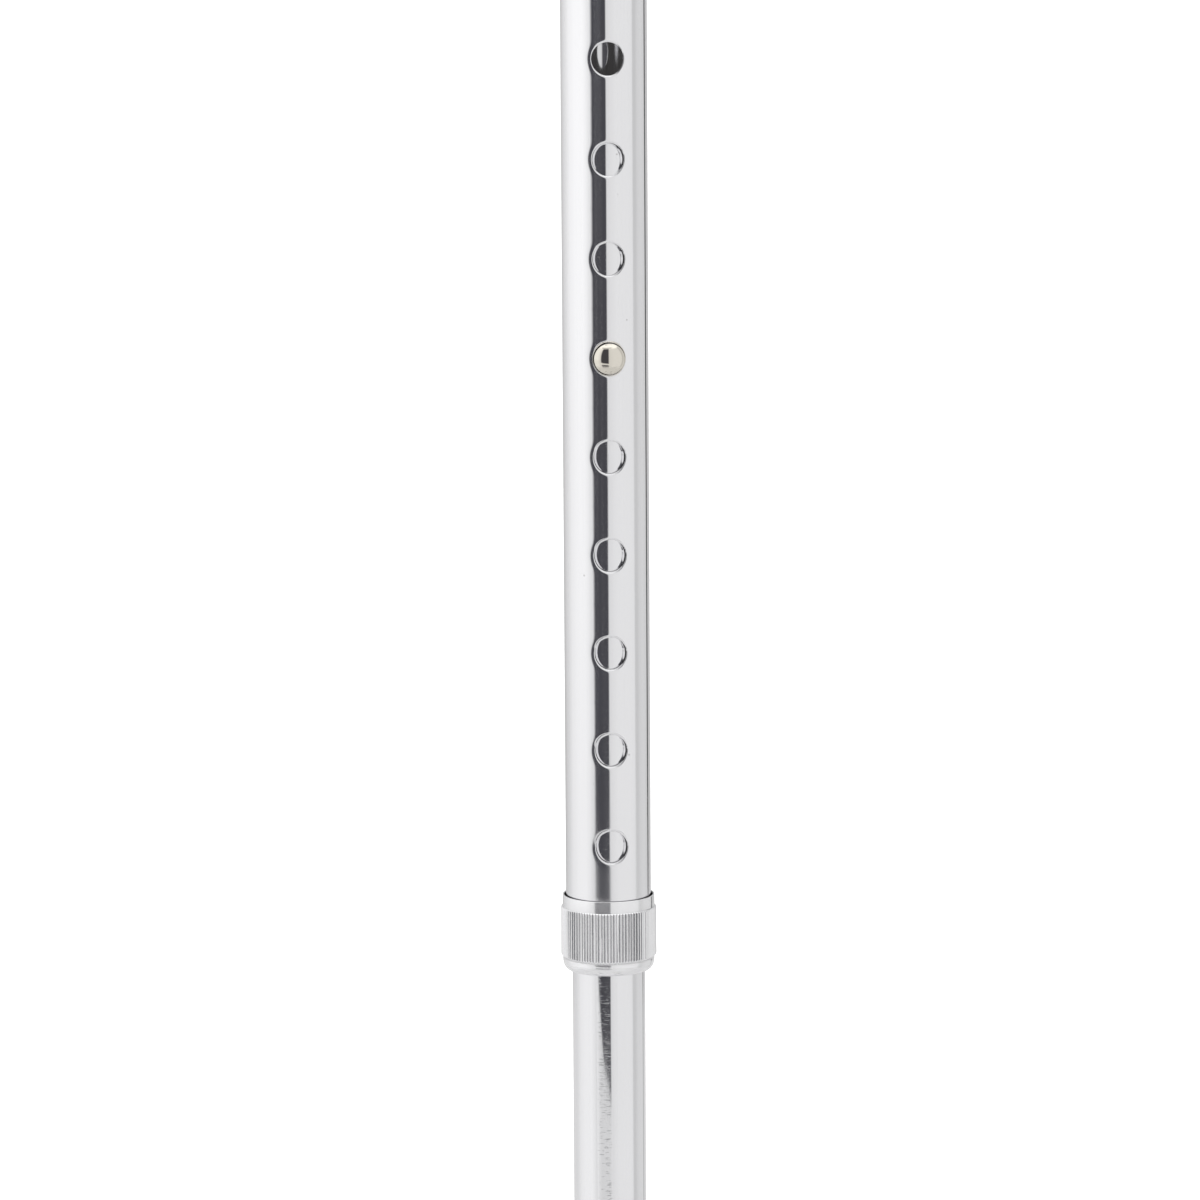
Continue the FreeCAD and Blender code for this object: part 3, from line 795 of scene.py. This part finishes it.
def make_lock_nut():
    low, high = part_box("base_lock_nut")
    near = SHAFT.y - low.y
    far = SHAFT.y - high.y
    collar = far + NUT_COLLAR
    outline = [(NUT_BORE_R, near), (FLAT_FACE_R, near)]
    flat = np.linspace(near - 0.05 * MM, collar + 0.05 * MM, 28)
    outline += [(BOLT_FLATS / 2, height) for height in flat]
    outline += [(NUT_COLLAR_R, collar), (NUT_COLLAR_R, far + 0.5 * MM), (NUT_COLLAR_R - 0.45 * MM, far)]
    outline += [(NUT_BORE_R, far), (NUT_BORE_R, near)]
    shell = Shell()
    shell.turned(bolt_axis(), outline, HEX_COLUMNS, hexagon_shape(BOLT_FLATS, near, collar))
    return shell.build("cross_bolt_nut", sharp_degrees=28)


def make_washers():
    shell = Shell()
    for near in (STEM_R, -STEM_R - WASHER):
        far = near + WASHER
        start = (BOLT_HOLE, near + WASHER / 2)
        outline = [start, (BOLT_HOLE, near), (WASHER_R, near), (WASHER_R, far), (BOLT_HOLE, far), start]
        shell.turned(bolt_axis(), rounded(outline, 0.2 * MM))
    return shell.build("cross_bolt_washers", sharp_degrees=50)


# ==== Rubber tips

TIP_FOOT_R = 16.5
TIP_WAIST_R = 11.4
TIP_WAIST_Z = 14.0
TIP_FOOT_EDGE = 4.2
TIP_FULLNESS = 0.55
TIP_NOTCHES = 40
NOTCH_DEPTH = 0.35 * MM
NOTCHED = (0.9 * MM, 3.6 * MM)
TIP_RIBS = (17.0, 21.5, 26.0)
RIB_R = 12.3
TREAD_RINGS = ((4.0, 5.5), (8.0, 9.5), (12.0, 13.5))
TREAD_DEPTH = 1.2
SOCKET_Z = 8.0


def tip_shape(radius, height, angle):
    """Small notches round the edge of the foot."""
    low, high = NOTCHED
    band = np.clip(np.minimum(height - low, high - height) / (0.4 * MM), 0, 1)
    notch = np.clip(np.cos(TIP_NOTCHES * angle) * 1.6 - 0.5, 0, 1)
    return np.where(radius > 16 * MM, radius - NOTCH_DEPTH * band * notch, radius)


def make_tip(name, node):
    place = middle(node)
    low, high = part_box(node)
    treads = [(0, 0)]
    for inner, outer in TREAD_RINGS:
        treads += [(inner, 0), (inner, TREAD_DEPTH), (outer, TREAD_DEPTH), (outer, 0)]
    treads += [(TIP_FOOT_R - 0.4, 0), (TIP_FOOT_R, 0.5)]
    side = [(TIP_FOOT_R, height) for height in np.linspace(0.7, 3.8, 12)]
    for turn in np.linspace(0, math.pi / 2, 22)[1:]:
        radius = TIP_FOOT_R - (TIP_FOOT_R - TIP_WAIST_R) * math.sin(turn) ** TIP_FULLNESS
        side.append((radius, TIP_FOOT_EDGE + (TIP_WAIST_Z - TIP_FOOT_EDGE) * (1 - math.cos(turn))))
    ribs = []
    for height in TIP_RIBS:
        ribs += [(TIP_WAIST_R, height - 1.5), (RIB_R, height - 1.0)]
        ribs += [(RIB_R, height + 1.0), (TIP_WAIST_R, height + 1.5)]
    top = [(TIP_WAIST_R, 31.2), (11.1, 32.4), (9.9, 33.0), (8.6, 33.0)]
    top += [(LEG_R / MM, 32.3), (LEG_R / MM, SOCKET_Z), (0, SOCKET_Z)]
    outline = rounded(treads, 0.25, 2) + side + rounded(ribs + top, 0.45, 3)
    shell = Shell()
    shell.turned(Axis((place.x, place.y, low.z)), millimetres(outline), 160, tip_shape)
    return shell.build(name, sharp_degrees=50)


# ==== Camera: 1.34 m from the shaft, a little above the button, looking down at it

CAMERA_DISTANCE = 1.335
CAMERA_ABOVE_BUTTON = 0.1362
CAMERA_LENS = 156.37
CAMERA_AZIMUTH = math.radians(-5.25)
CAMERA_DOWN = math.radians(8.52)
CAMERA_YAW = math.radians(-0.0756)
CAMERA_ROLL = math.radians(-0.3437)


def make_camera():
    data = bpy.data.cameras.new("camera")
    data.lens = CAMERA_LENS
    data.sensor_width = 36
    data.clip_start = 0.05
    data.clip_end = 60
    camera = into_scene(bpy.data.objects.new("camera", data))
    back = Vector((math.sin(CAMERA_AZIMUTH), -math.cos(CAMERA_AZIMUTH), 0))
    heading = CAMERA_YAW - CAMERA_AZIMUTH
    forward = Vector((
        math.sin(heading) * math.cos(CAMERA_DOWN),
        math.cos(heading) * math.cos(CAMERA_DOWN),
        -math.sin(CAMERA_DOWN),
    ))
    turned = forward.to_track_quat("-Z", "Y") @ Quaternion((0, 0, 1), CAMERA_ROLL)
    place = Vector((SHAFT.x, SHAFT.y, BUTTON_Z + CAMERA_ABOVE_BUTTON)) + CAMERA_DISTANCE * back
    camera.matrix_world = Matrix.Translation(place) @ turned.to_matrix().to_4x4()
    bpy.context.scene.camera = camera


# ==== Shader nodes

class Shading:
    """Short calls that add shader nodes. A value is a socket or a plain number."""

    def __init__(self, tree):
        self.nodes = tree.nodes
        self.links = tree.links
        self.nodes.clear()

    def put(self, socket, value):
        if isinstance(value, bpy.types.NodeSocket):
            self.links.new(value, socket)
        else:
            socket.default_value = value

    def add(self, kind, values):
        node = self.nodes.new("ShaderNode" + kind)
        for name, value in values.items():
            self.put(node.inputs[name], value)
        return node

    def math(self, operation, first, second=0.0):
        node = self.add("Math", {0: first, 1: second})
        node.operation = operation
        return node.outputs[0]

    def times(self, first, second):
        return self.math("MULTIPLY", first, second)

    def fade(self, value, start, end, first=0.0, last=1.0):
        """Smooth step from first to last as the value goes from start to end."""
        limits = {"From Min": start, "From Max": end, "To Min": first, "To Max": last}
        node = self.add("MapRange", {"Value": value, **limits})
        node.interpolation_type = "SMOOTHSTEP"
        return node.outputs[0]

    def mix(self, share, first, second):
        """Blend of two colours."""
        node = self.nodes.new("ShaderNodeMix")
        node.data_type = "RGBA"
        for index, value in ((0, share), (6, first), (7, second)):
            self.put(node.inputs[index], (*value, 1) if isinstance(value, tuple) else value)
        return node.outputs[2]

    def total(self, *parts):
        """Sum of (socket, factor) pairs."""
        value = 0.0
        for socket, factor in parts:
            value = self.math("ADD", value, self.times(socket, factor))
        return value

    def place(self):
        return self.nodes.new("ShaderNodeTexCoord").outputs["Object"]

    def length_map(self):
        node = self.nodes.new("ShaderNodeUVMap")
        node.uv_map = "length"
        return node.outputs[0]

    def scaled(self, vector, scale, angle=0.0):
        return self.add("Mapping", {"Vector": vector, "Scale": scale, "Rotation": (0, 0, angle)}).outputs[0]

    def noise(self, vector, scale=1.0, detail=2.0):
        """Noise of one scale, or stretched by a scale for each direction."""
        if isinstance(scale, tuple):
            vector, scale = self.scaled(vector, scale), 1.0
        return self.add("TexNoise", {"Vector": vector, "Scale": scale, "Detail": detail}).outputs["Fac"]

    def hairlines(self, vector, scale, angle, patch):
        """Sparse thin scratches: the contour of a stretched noise, kept in a few patches."""
        wander = self.noise(self.scaled(vector, scale, angle), detail=0.0)
        line = self.fade(self.math("ABSOLUTE", self.math("SUBTRACT", wander, 0.5)), 0.010, 0.0)
        return self.times(line, self.fade(self.noise(vector, patch, 1.0), 0.57, 0.66))

    def specks(self, vector, scale, share):
        """Small round marks in a share of the cells of a grid of the given scale."""
        node = self.add("TexVoronoi", {"Vector": vector, "Scale": scale})
        lot = self.add("SeparateColor", {"Color": node.outputs["Color"]}).outputs[0]
        mark = self.fade(node.outputs["Distance"], 0.16, 0.05)
        return self.times(self.math("LESS_THAN", lot, share), mark)

    def bump(self, height, distance, strength=1.0):
        return self.add("Bump", {"Height": height, "Distance": distance, "Strength": strength}).outputs[0]

    def surface(self, values):
        return self.add("BsdfPrincipled", values).outputs[0]

    def finish(self, shader):
        self.links.new(shader, self.nodes.new("ShaderNodeOutputMaterial").inputs["Surface"])

    def finish_surface(self, values):
        self.finish(self.surface(values))


def new_material(name):
    material = bpy.data.materials.new(name)
    material.use_nodes = True
    return material, Shading(material.node_tree)


# ==== Materials

def tube_metal(name, color, shine, haze_top=0.0, haze_foot=0.0, telescoped=0.0):
    """Polished drawn tube: drawing lines along it, hairline scratches, specks and smudges.

    Between the heights haze_top and haze_foot the polish dulls. telescoped adds the
    rubbing marks that the outer tube leaves round the inner one.
    """
    material, shade = new_material(name)
    along = shade.length_map()
    drawn = shade.noise(along, (1900, 5, 1), 3.0)
    fine = shade.noise(along, (7000, 40, 1), 1.0)
    smudge = shade.noise(shade.place(), 38.0, 3.0)
    scratch = shade.math("MAXIMUM", shade.hairlines(along, (420, 16, 1), 0.35, 130.0),
                         shade.hairlines(along, (380, 14, 1), -0.8, 115.0))
    speck = shade.specks(along, 420.0, 0.022)
    rubbed = shade.fade(shade.noise(along, (420, 3600, 1), 2.0), 0.56, 0.74)
    haze = 0.0
    if haze_foot:
        height = shade.add("SeparateXYZ", {"Vector": shade.place()}).outputs["Z"]
        haze = shade.fade(height, haze_top, haze_foot)
    film = shade.fade(shade.noise(along, (950, 3, 1), 3.0), 0.40, 0.66)
    roughness = shade.total((smudge, 0.03), (film, 0.01), (scratch, 0.06), (speck, 0.25), (haze, 0.11),
                            (rubbed, 0.16 * telescoped))
    relief = shade.total((drawn, 1.0), (fine, 0.25), (scratch, -0.5), (speck, -2.5), (rubbed, telescoped))
    tint = shade.mix(shade.times(smudge, 0.5), color, tuple(0.97 * part for part in color))
    shade.finish_surface({
        "Base Color": shade.mix(shade.times(speck, 0.6), tint, (0.42, 0.41, 0.40)),
        "Metallic": shade.total((film, -0.028), (1.0, 1.0)),
        "Roughness": shade.math("ADD", roughness, shine),
        "Normal": shade.bump(relief, 2.2e-6),
    })
    return material


def tube_bore(name):
    """Inside of a tube, with a faint glow for the light that bounces along it many times."""
    material, shade = new_material(name)
    streak = shade.noise(shade.length_map(), (900, 8, 1), 4.0)
    shade.finish_surface({
        "Base Color": shade.mix(streak, (0.78, 0.78, 0.79), (0.86, 0.86, 0.87)),
        "Metallic": 1.0,
        "Roughness": shade.total((streak, 0.06), (1.0, 0.05)),
        "Emission Color": (1.0, 0.97, 0.95, 1),
        "Emission Strength": shade.fade(streak, 0.3, 0.7, 0.006, 0.014),
        "Normal": shade.bump(streak, 2e-6),
    })
    return material


def satin_metal(name, color, roughness, whiteness):
    """Bright-dipped machined metal with turning marks, and painted shade darkening its hollows. Its
    whiteness veils the reflections.
    """
    material, shade = new_material(name)
    place = shade.place()
    turning = shade.noise(place, (30, 30, 9000), 2.0)
    cloud = shade.noise(place, 160.0, 3.0)
    scratch = shade.hairlines(shade.length_map(), (300, 60, 1), 1.1, 120.0)
    relief = shade.total((turning, 1.0), (cloud, 0.6), (scratch, -1.5))
    # Painted shade: where the surface is hollow, as in the knurl's valleys, the base colour darkens towards
    # dark grey
    painted_valley_shade = shade.fade(shade.add("NewGeometry", {}).outputs["Pointiness"], 0.50, 0.44)
    clean = shade.mix(cloud, color, tuple(0.95 * part for part in color))
    shade.finish_surface({
        "Base Color": shade.mix(shade.times(painted_valley_shade, 0.35), clean, (0.16, 0.16, 0.17)),
        "Metallic": shade.total((cloud, 0.08), (1.0, 0.96 - whiteness)),
        "Roughness": shade.total((cloud, 0.05), (scratch, 0.1), (1.0, roughness)),
        "Normal": shade.bump(relief, 3e-6),
    })
    return material


def threaded_bore(name):
    """Dark, greasy inside of a machined nut."""
    material, shade = new_material(name)
    grease = shade.noise(shade.place(), 400.0, 3.0)
    shade.finish_surface({
        "Base Color": shade.mix(grease, (0.05, 0.05, 0.05), (0.12, 0.12, 0.12)),
        "Metallic": 0.6,
        "Roughness": shade.total((grease, 0.2), (1.0, 0.4)),
        "Normal": shade.bump(grease, 1e-5),
    })
    return material


def plated_metal(name, color, roughness, ripple, mottle=0.0):
    """Plating over drawn or stamped steel: long ripples, hairlines, pits and slight mottling."""
    material, shade = new_material(name)
    place = shade.place()
    wave = shade.noise(place, 90.0, 2.0)
    grain = shade.noise(place, 2600.0, 2.0)
    cloud = shade.noise(place, 240.0, 4.0)
    scratch = shade.hairlines(place, (180, 40, 110), 0.7, 60.0)
    pit = shade.specks(place, 520.0, 0.03)
    relief = shade.total((wave, 26 * ripple), (grain, 0.4), (scratch, -1.4), (pit, -3.0))
    dark = tuple(part * (1 - 0.35 * mottle) for part in color)
    uneven = 0.05 + 0.15 * mottle
    shade.finish_surface({
        "Base Color": shade.mix(shade.fade(cloud, 0.35, 0.65), color, dark),
        "Metallic": 1.0,
        "Roughness": shade.total((cloud, uneven), (scratch, 0.12), (pit, 0.3), (1.0, roughness)),
        "Normal": shade.bump(relief, 2.5e-6),
    })
    return material


def moulded(name, color, roughness, grain_scale, grain_depth, dust=0.0, sheen=0.0):
    """Moulded plastic or rubber: leathery grain, uneven shine, dust and rubbed high spots."""
    material, shade = new_material(name)
    place = shade.place()
    cells = shade.add("TexVoronoi", {"Vector": place, "Scale": grain_scale}).outputs["Distance"]
    fine = shade.noise(place, grain_scale * 3.2, 3.0)
    cloud = shade.noise(place, 150.0, 5.0)
    worn = shade.fade(shade.add("NewGeometry", {}).outputs["Pointiness"], 0.51, 0.60)
    film = shade.times(shade.fade(cloud, 0.48, 0.80), dust)
    pale = tuple(min(1.0, part * 1.6 + 0.03) for part in color)
    dusty = shade.mix(film, color, (0.30, 0.29, 0.27))
    shade.finish_surface({
        "Base Color": shade.mix(shade.times(worn, 0.6), dusty, pale),
        "Roughness": shade.total((cloud, 0.18), (worn, -0.10), (1.0, roughness - 0.09)),
        "Specular IOR Level": 0.45,
        "Sheen Weight": sheen,
        "Normal": shade.bump(shade.total((cells, 1.0), (fine, 0.35)), grain_depth),
    })
    return material


# ==== Studio: a pale floor, a soft light from above, and bright walls with dark gaps

# Brightness round the horizon, in degrees from the camera's side, + towards +X
WALLS = (
    (-180, 0.57), (-150, 0.62), (-143, 0.71), (-123, 0.835), (-108, 0.97), (-96, 1.01), (-85, 1.05),
    (-60, 1.05), (-50, 0.98), (-44, 0.90), (-38, 0.83), (6, 0.74), (15, 0.79), (30, 0.835), (66, 0.835),
    (79, 0.81), (82.5, 0.62), (90, 0.61), (99, 0.685), (112, 0.71), (132.6, 0.66), (134.2, 0.03),
    (139.4, 0.03), (141, 0.50), (150, 0.57), (180, 0.57),
)
# Pairs of degrees are the start and end of a fade: round the horizon, or up from it
BRIGHTEST = 1.30
GAP_LEFT = (-39.0, -30.0)
GAP_RIGHT = (7.0, 2.5)
GAP_TOP = (55.0, 50.0)
GAP_DARK = (0.067, 0.0665, 0.0755)
OVERHEAD = 1.28
OVERHEAD_RISE = (46.0, 57.0)
SEAM_DARK = 0.10
SEAM_FOOT = (52.0, 57.0)
SEAM_TOP = (61.0, 57.0)
SEAM_MIDDLE = -14.0
SEAM_SIDES = (62.0, 31.0)
DIMMING = 0.115
DIMMED_LEFT = (-10.0, -40.0)
DIMMED_LOW = (-2.0, -14.0)
BEHIND = 0.80
BEHIND_SHARE = 0.7
BEHIND_SIDES = (100.0, 150.0)
BEHIND_LOW = (-11.5, -13.5)


def sine(degrees):
    return math.sin(math.radians(degrees))


def grey(level):
    return (level, level, level)


def azimuth_of(shade, vector):
    """Degrees round the shaft from the camera's side, + towards +X, and the vector's parts."""
    parts = shade.add("SeparateXYZ", {"Vector": vector}).outputs
    turn = shade.math("ARCTAN2", parts["X"], shade.times(parts["Y"], -1.0))
    turn = shade.math("SUBTRACT", turn, CAMERA_AZIMUTH)
    share = shade.math("FRACT", shade.math("ADD", shade.times(turn, 1 / (2 * math.pi)), 0.5))
    return shade.times(shade.math("SUBTRACT", share, 0.5), 360.0), parts


def make_world():
    world = bpy.data.worlds.new("studio")
    bpy.context.scene.world = world
    world.use_nodes = True
    shade = Shading(world.node_tree)
    azimuth, parts = azimuth_of(shade, shade.nodes.new("ShaderNodeTexCoord").outputs["Generated"])

    def rising(start, end):
        return shade.fade(parts["Z"], sine(start), sine(end))

    def tinted(share, under, colour):
        return shade.mix(share, under, tuple(part / BRIGHTEST for part in colour))

    ramp = shade.add("ValToRGB", {"Fac": shade.math("ADD", shade.times(azimuth, 1 / 360), 0.5)})
    stops = ramp.color_ramp.elements
    for degrees, level in WALLS:
        place = (degrees + 180) / 360
        stop = stops[0] if place == 0 else stops[-1] if place == 1 else stops.new(place)
        stop.color = (*grey(level / BRIGHTEST), 1)
    dimmed = shade.times(shade.fade(azimuth, *DIMMED_LEFT), rising(*DIMMED_LOW))
    walls = tinted(shade.times(dimmed, DIMMING), ramp.outputs[0], grey(0.0))
    behind = shade.times(shade.fade(shade.math("ABSOLUTE", azimuth), *BEHIND_SIDES), rising(*BEHIND_LOW))
    walls = tinted(shade.times(behind, BEHIND_SHARE), walls, grey(BEHIND))
    gap = shade.times(shade.fade(azimuth, *GAP_LEFT), shade.fade(azimuth, *GAP_RIGHT))
    walls = tinted(shade.times(gap, rising(*GAP_TOP)), walls, GAP_DARK)
    above = tinted(rising(*OVERHEAD_RISE), walls, grey(OVERHEAD))
    sideways = shade.math("ABSOLUTE", shade.math("SUBTRACT", azimuth, SEAM_MIDDLE))
    seam = shade.times(rising(*SEAM_FOOT), rising(*SEAM_TOP))
    lined = tinted(shade.times(seam, shade.fade(sideways, *SEAM_SIDES)), above, grey(SEAM_DARK))
    seen = shade.nodes.new("ShaderNodeLightPath").outputs["Is Camera Ray"]
    background = shade.add("Background", {
        "Color": shade.mix(seen, lined, grey(1.0)),
        "Strength": BRIGHTEST,
    })
    shade.links.new(background.outputs[0], shade.nodes.new("ShaderNodeOutputWorld").inputs["Surface"])


def make_plane(name, corners, material):
    mesh = bpy.data.meshes.new(name)
    mesh.from_pydata(corners, [], [tuple(range(len(corners)))])
    plane = into_scene(bpy.data.objects.new(name, mesh))
    mesh.materials.append(material)
    return plane


def round_the_shaft(degrees, distance, height):
    turn = math.radians(degrees) + CAMERA_AZIMUTH
    return (SHAFT.x + distance * math.sin(turn), SHAFT.y - distance * math.cos(turn), height)


FLOOR_REACH = 15.0
FLOOR_GLOW = 0.16
NEAR_FLOOR = 0.72
NEAR_FLOOR_FADE = (0.45 * NEAR_FLOOR, 0.98 * NEAR_FLOOR)
MATT = {"Roughness": 0.9, "Specular IOR Level": 0.1}
# Degrees round the shaft, and metres from it
GAP_FLOOR_LINE = (
    (-40, 1.235), (-33.6, 1.195), (-26.3, 1.116), (-19.2, 1.044), (-9.6, 1.009), (-3.2, 0.992), (0.5, 0.975),
    (9, 0.94),
)
GAP_FLOOR_LEFT = {"start": -24.0, "end": -41.0, "first": 0.715, "last": 0.86}
GAP_FLOOR_RIGHT = {"start": -1.0, "end": 8.0, "first": 0.0, "last": 0.06}
ALL_BUT_GLOSSY = ("visible_camera", "visible_diffuse", "visible_shadow", "visible_transmission")


def floor_material():
    material, shade = new_material("floor")
    cloud = shade.noise(shade.place(), 1.3, 2.0)
    shade.finish_surface({
        "Base Color": shade.mix(cloud, grey(0.93), grey(0.95)),
        "Emission Color": (1, 1, 1, 1),
        "Emission Strength": FLOOR_GLOW,
        **MATT,
    })
    return material


def from_shaft(shade):
    return shade.add("VectorMath", {0: shade.place(), 1: (-SHAFT.x, -SHAFT.y, 0)}).outputs[0]


def near_floor_material():
    """Floor round the cane as its metal reflects it, which thins out into the walls' light."""
    material, shade = new_material("floor_near")
    distance = shade.add("VectorMath", {0: from_shaft(shade)})
    distance.operation = "LENGTH"
    blend = shade.add("MixShader", {0: shade.fade(distance.outputs["Value"], *NEAR_FLOOR_FADE)})
    floor = shade.surface({"Base Color": (*grey(0.86), 1), **MATT})
    clear = shade.nodes.new("ShaderNodeBsdfTransparent").outputs[0]
    shade.links.new(floor, blend.inputs[1])
    shade.links.new(clear, blend.inputs[2])
    shade.finish(blend.outputs[0])
    return material


def gap_floor_material():
    """Pale floor in front of the gap between the walls, brightest at the gap's sides."""
    material, shade = new_material("floor_before_gap")
    azimuth, _ = azimuth_of(shade, from_shaft(shade))
    left = shade.fade(azimuth, **GAP_FLOOR_LEFT)
    right = shade.fade(azimuth, **GAP_FLOOR_RIGHT)
    emission = shade.add("Emission", {"Color": (1, 1, 1, 1), "Strength": shade.math("ADD", left, right)})
    shade.finish(emission.outputs[0])
    return material


def make_floor():
    reach = FLOOR_REACH
    corners = [(-reach, -reach, 0), (reach, -reach, 0), (reach, reach, 0), (-reach, reach, 0)]
    make_plane("floor", corners, floor_material()).visible_glossy = False
    circle = [round_the_shaft(degrees, NEAR_FLOOR, 0) for degrees in range(0, 360, 5)]
    edge = [round_the_shaft(degrees, distance, 0) for degrees, distance in reversed(GAP_FLOOR_LINE)]
    corner = [round_the_shaft(degrees, NEAR_FLOOR, 0) for degrees in (-40, -30, -20, -10, 0, 9)]
    for plane in (
        make_plane("floor_in_reflections", circle, near_floor_material()),
        make_plane("floor_before_gap", corner + edge, gap_floor_material()),
    ):
        for ray in ALL_BUT_GLOSSY:
            setattr(plane, ray, False)


SUN_STRENGTH = 1.55
SUN_SPREAD = math.radians(70)
SUN_FROM = Vector((-0.35, -0.45, 1.0))


def make_light():
    """Soft light from above, seen only by what it lights, never as a spot in the metal."""
    data = bpy.data.lights.new("overhead", "SUN")
    data.energy = SUN_STRENGTH
    data.angle = SUN_SPREAD
    light = into_scene(bpy.data.objects.new("overhead", data))
    light.rotation_euler = SUN_FROM.to_track_quat("Z", "Y").to_euler()
    light.location = (0, 0, 2)
    light.visible_glossy = False


# ==== Assembly

TIP_PLACES = ("user_front", "user_rear", "outer_front", "outer_rear")

make_camera()

nut_top = below_button(NUT_TOP)
outer_metal = tube_metal("polished_aluminium", (0.905, 0.903, 0.918), 0.028,
                         haze_top=nut_top + 48 * MM, haze_foot=nut_top)
inner_metal = tube_metal("inner_tube_aluminium", (0.90, 0.898, 0.913), 0.030, telescoped=1.0)
bore_metal = tube_bore("tube_bore")
nut_metal = satin_metal("nut_aluminium", (0.87, 0.868, 0.88), 0.05, 0.21)
knurl_metal = satin_metal("knurl_aluminium", (0.86, 0.858, 0.87), 0.05, 0.18)
nut_bore = threaded_bore("nut_bore")
nickel = plated_metal("button_nickel", (0.81, 0.768, 0.685), 0.035, 0.5)
steel = plated_metal("spring_steel", (0.42, 0.42, 0.44), 0.24, 1.0, mottle=0.5)
chrome = plated_metal("base_chrome", (0.80, 0.81, 0.825), 0.035, 1.0)
weld = plated_metal("weld_chrome", (0.62, 0.62, 0.63), 0.27, 3.0, mottle=0.5)
zinc = plated_metal("fastener_zinc", (0.66, 0.68, 0.71), 0.20, 1.0, mottle=0.6)
nylon = moulded("nylon", (0.045, 0.045, 0.048), 0.42, 1500.0, 2e-5)
vinyl = moulded("grip_vinyl", (0.022, 0.022, 0.024), 0.52, 1350.0, 9e-5, dust=0.05, sheen=0.05)
rubber = moulded("tip_rubber", (0.030, 0.030, 0.031), 0.66, 1100.0, 6e-5, dust=0.16, sheen=0.08)

# piece, body, slot, materials, CAD nodes that it stands for
PIECES = [
    (make_upper_tube(), "upper", "polished_aluminium", (outer_metal, bore_metal), ("upper_tube",)),
    (make_grip(), "upper", "grip_vinyl", (vinyl,), ("handle_grip",)),
    (make_nut(), "nut", "nut_aluminium", (nut_metal, nut_bore, knurl_metal), ("lock_nut",)),
    (make_button(), "button", "button_nickel", (nickel,), ("snap_button",)),
    (make_lower_tube(), "base", "inner_tube_aluminium", (inner_metal, bore_metal), ("lower_tube",)),
    (make_stem(), "base", "base_chrome", (chrome, chrome), ("base_stem",)),
    (make_plate(), "base", "base_chrome", (chrome,), ("hub_plate",)),
    (make_bolt(), "base", "fastener_zinc", (zinc,), ("base_bolt",)),
    (make_lock_nut(), "base", "fastener_zinc", (zinc,), ("base_lock_nut",)),
    (make_washers(), "base", "fastener_zinc", (zinc,), ("base_washers",)),
]
for side, sign in (("user", 1), ("outer", -1)):
    feet = ["rubber_tip_" + side + "_" + end for end in ("rear", "front")]
    leg = make_leg(side + "_legs", side + "_leg_tube", feet)
    PIECES.append((leg, "base", "base_chrome", (chrome, chrome), (side + "_leg_tube",)))
    PIECES.append((socket_bead("socket_weld_" + side, sign), "base", "base_chrome", (weld,), ()))
    PIECES.append((plate_bead("plate_weld_" + side, sign), "base", "base_chrome", (weld,), ()))
for place in TIP_PLACES:
    node = "rubber_tip_" + place
    PIECES.append((make_tip("ribbed_tip_" + place, node), "base", "tip_rubber", (rubber,), (node,)))

for piece, body, slot, materials, nodes in PIECES:
    for material in materials:
        piece.data.materials.append(material)
    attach(piece, body)
    if nodes:
        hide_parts(*nodes)

KEPT_NODES = {
    "handle_end_plug": nylon, "compression_ring": nylon, "tube_guide_bush": nylon, "lower_tube_plug": nylon,
    "button_spring": steel, **{"tip_washer_" + place: steel for place in TIP_PLACES},
}
for name, material in KEPT_NODES.items():
    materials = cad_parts[name].data.materials
    for index in range(len(materials)):
        materials[index] = material

make_world()
make_floor()
make_light()
bpy.context.scene.view_settings.view_transform = "Standard"
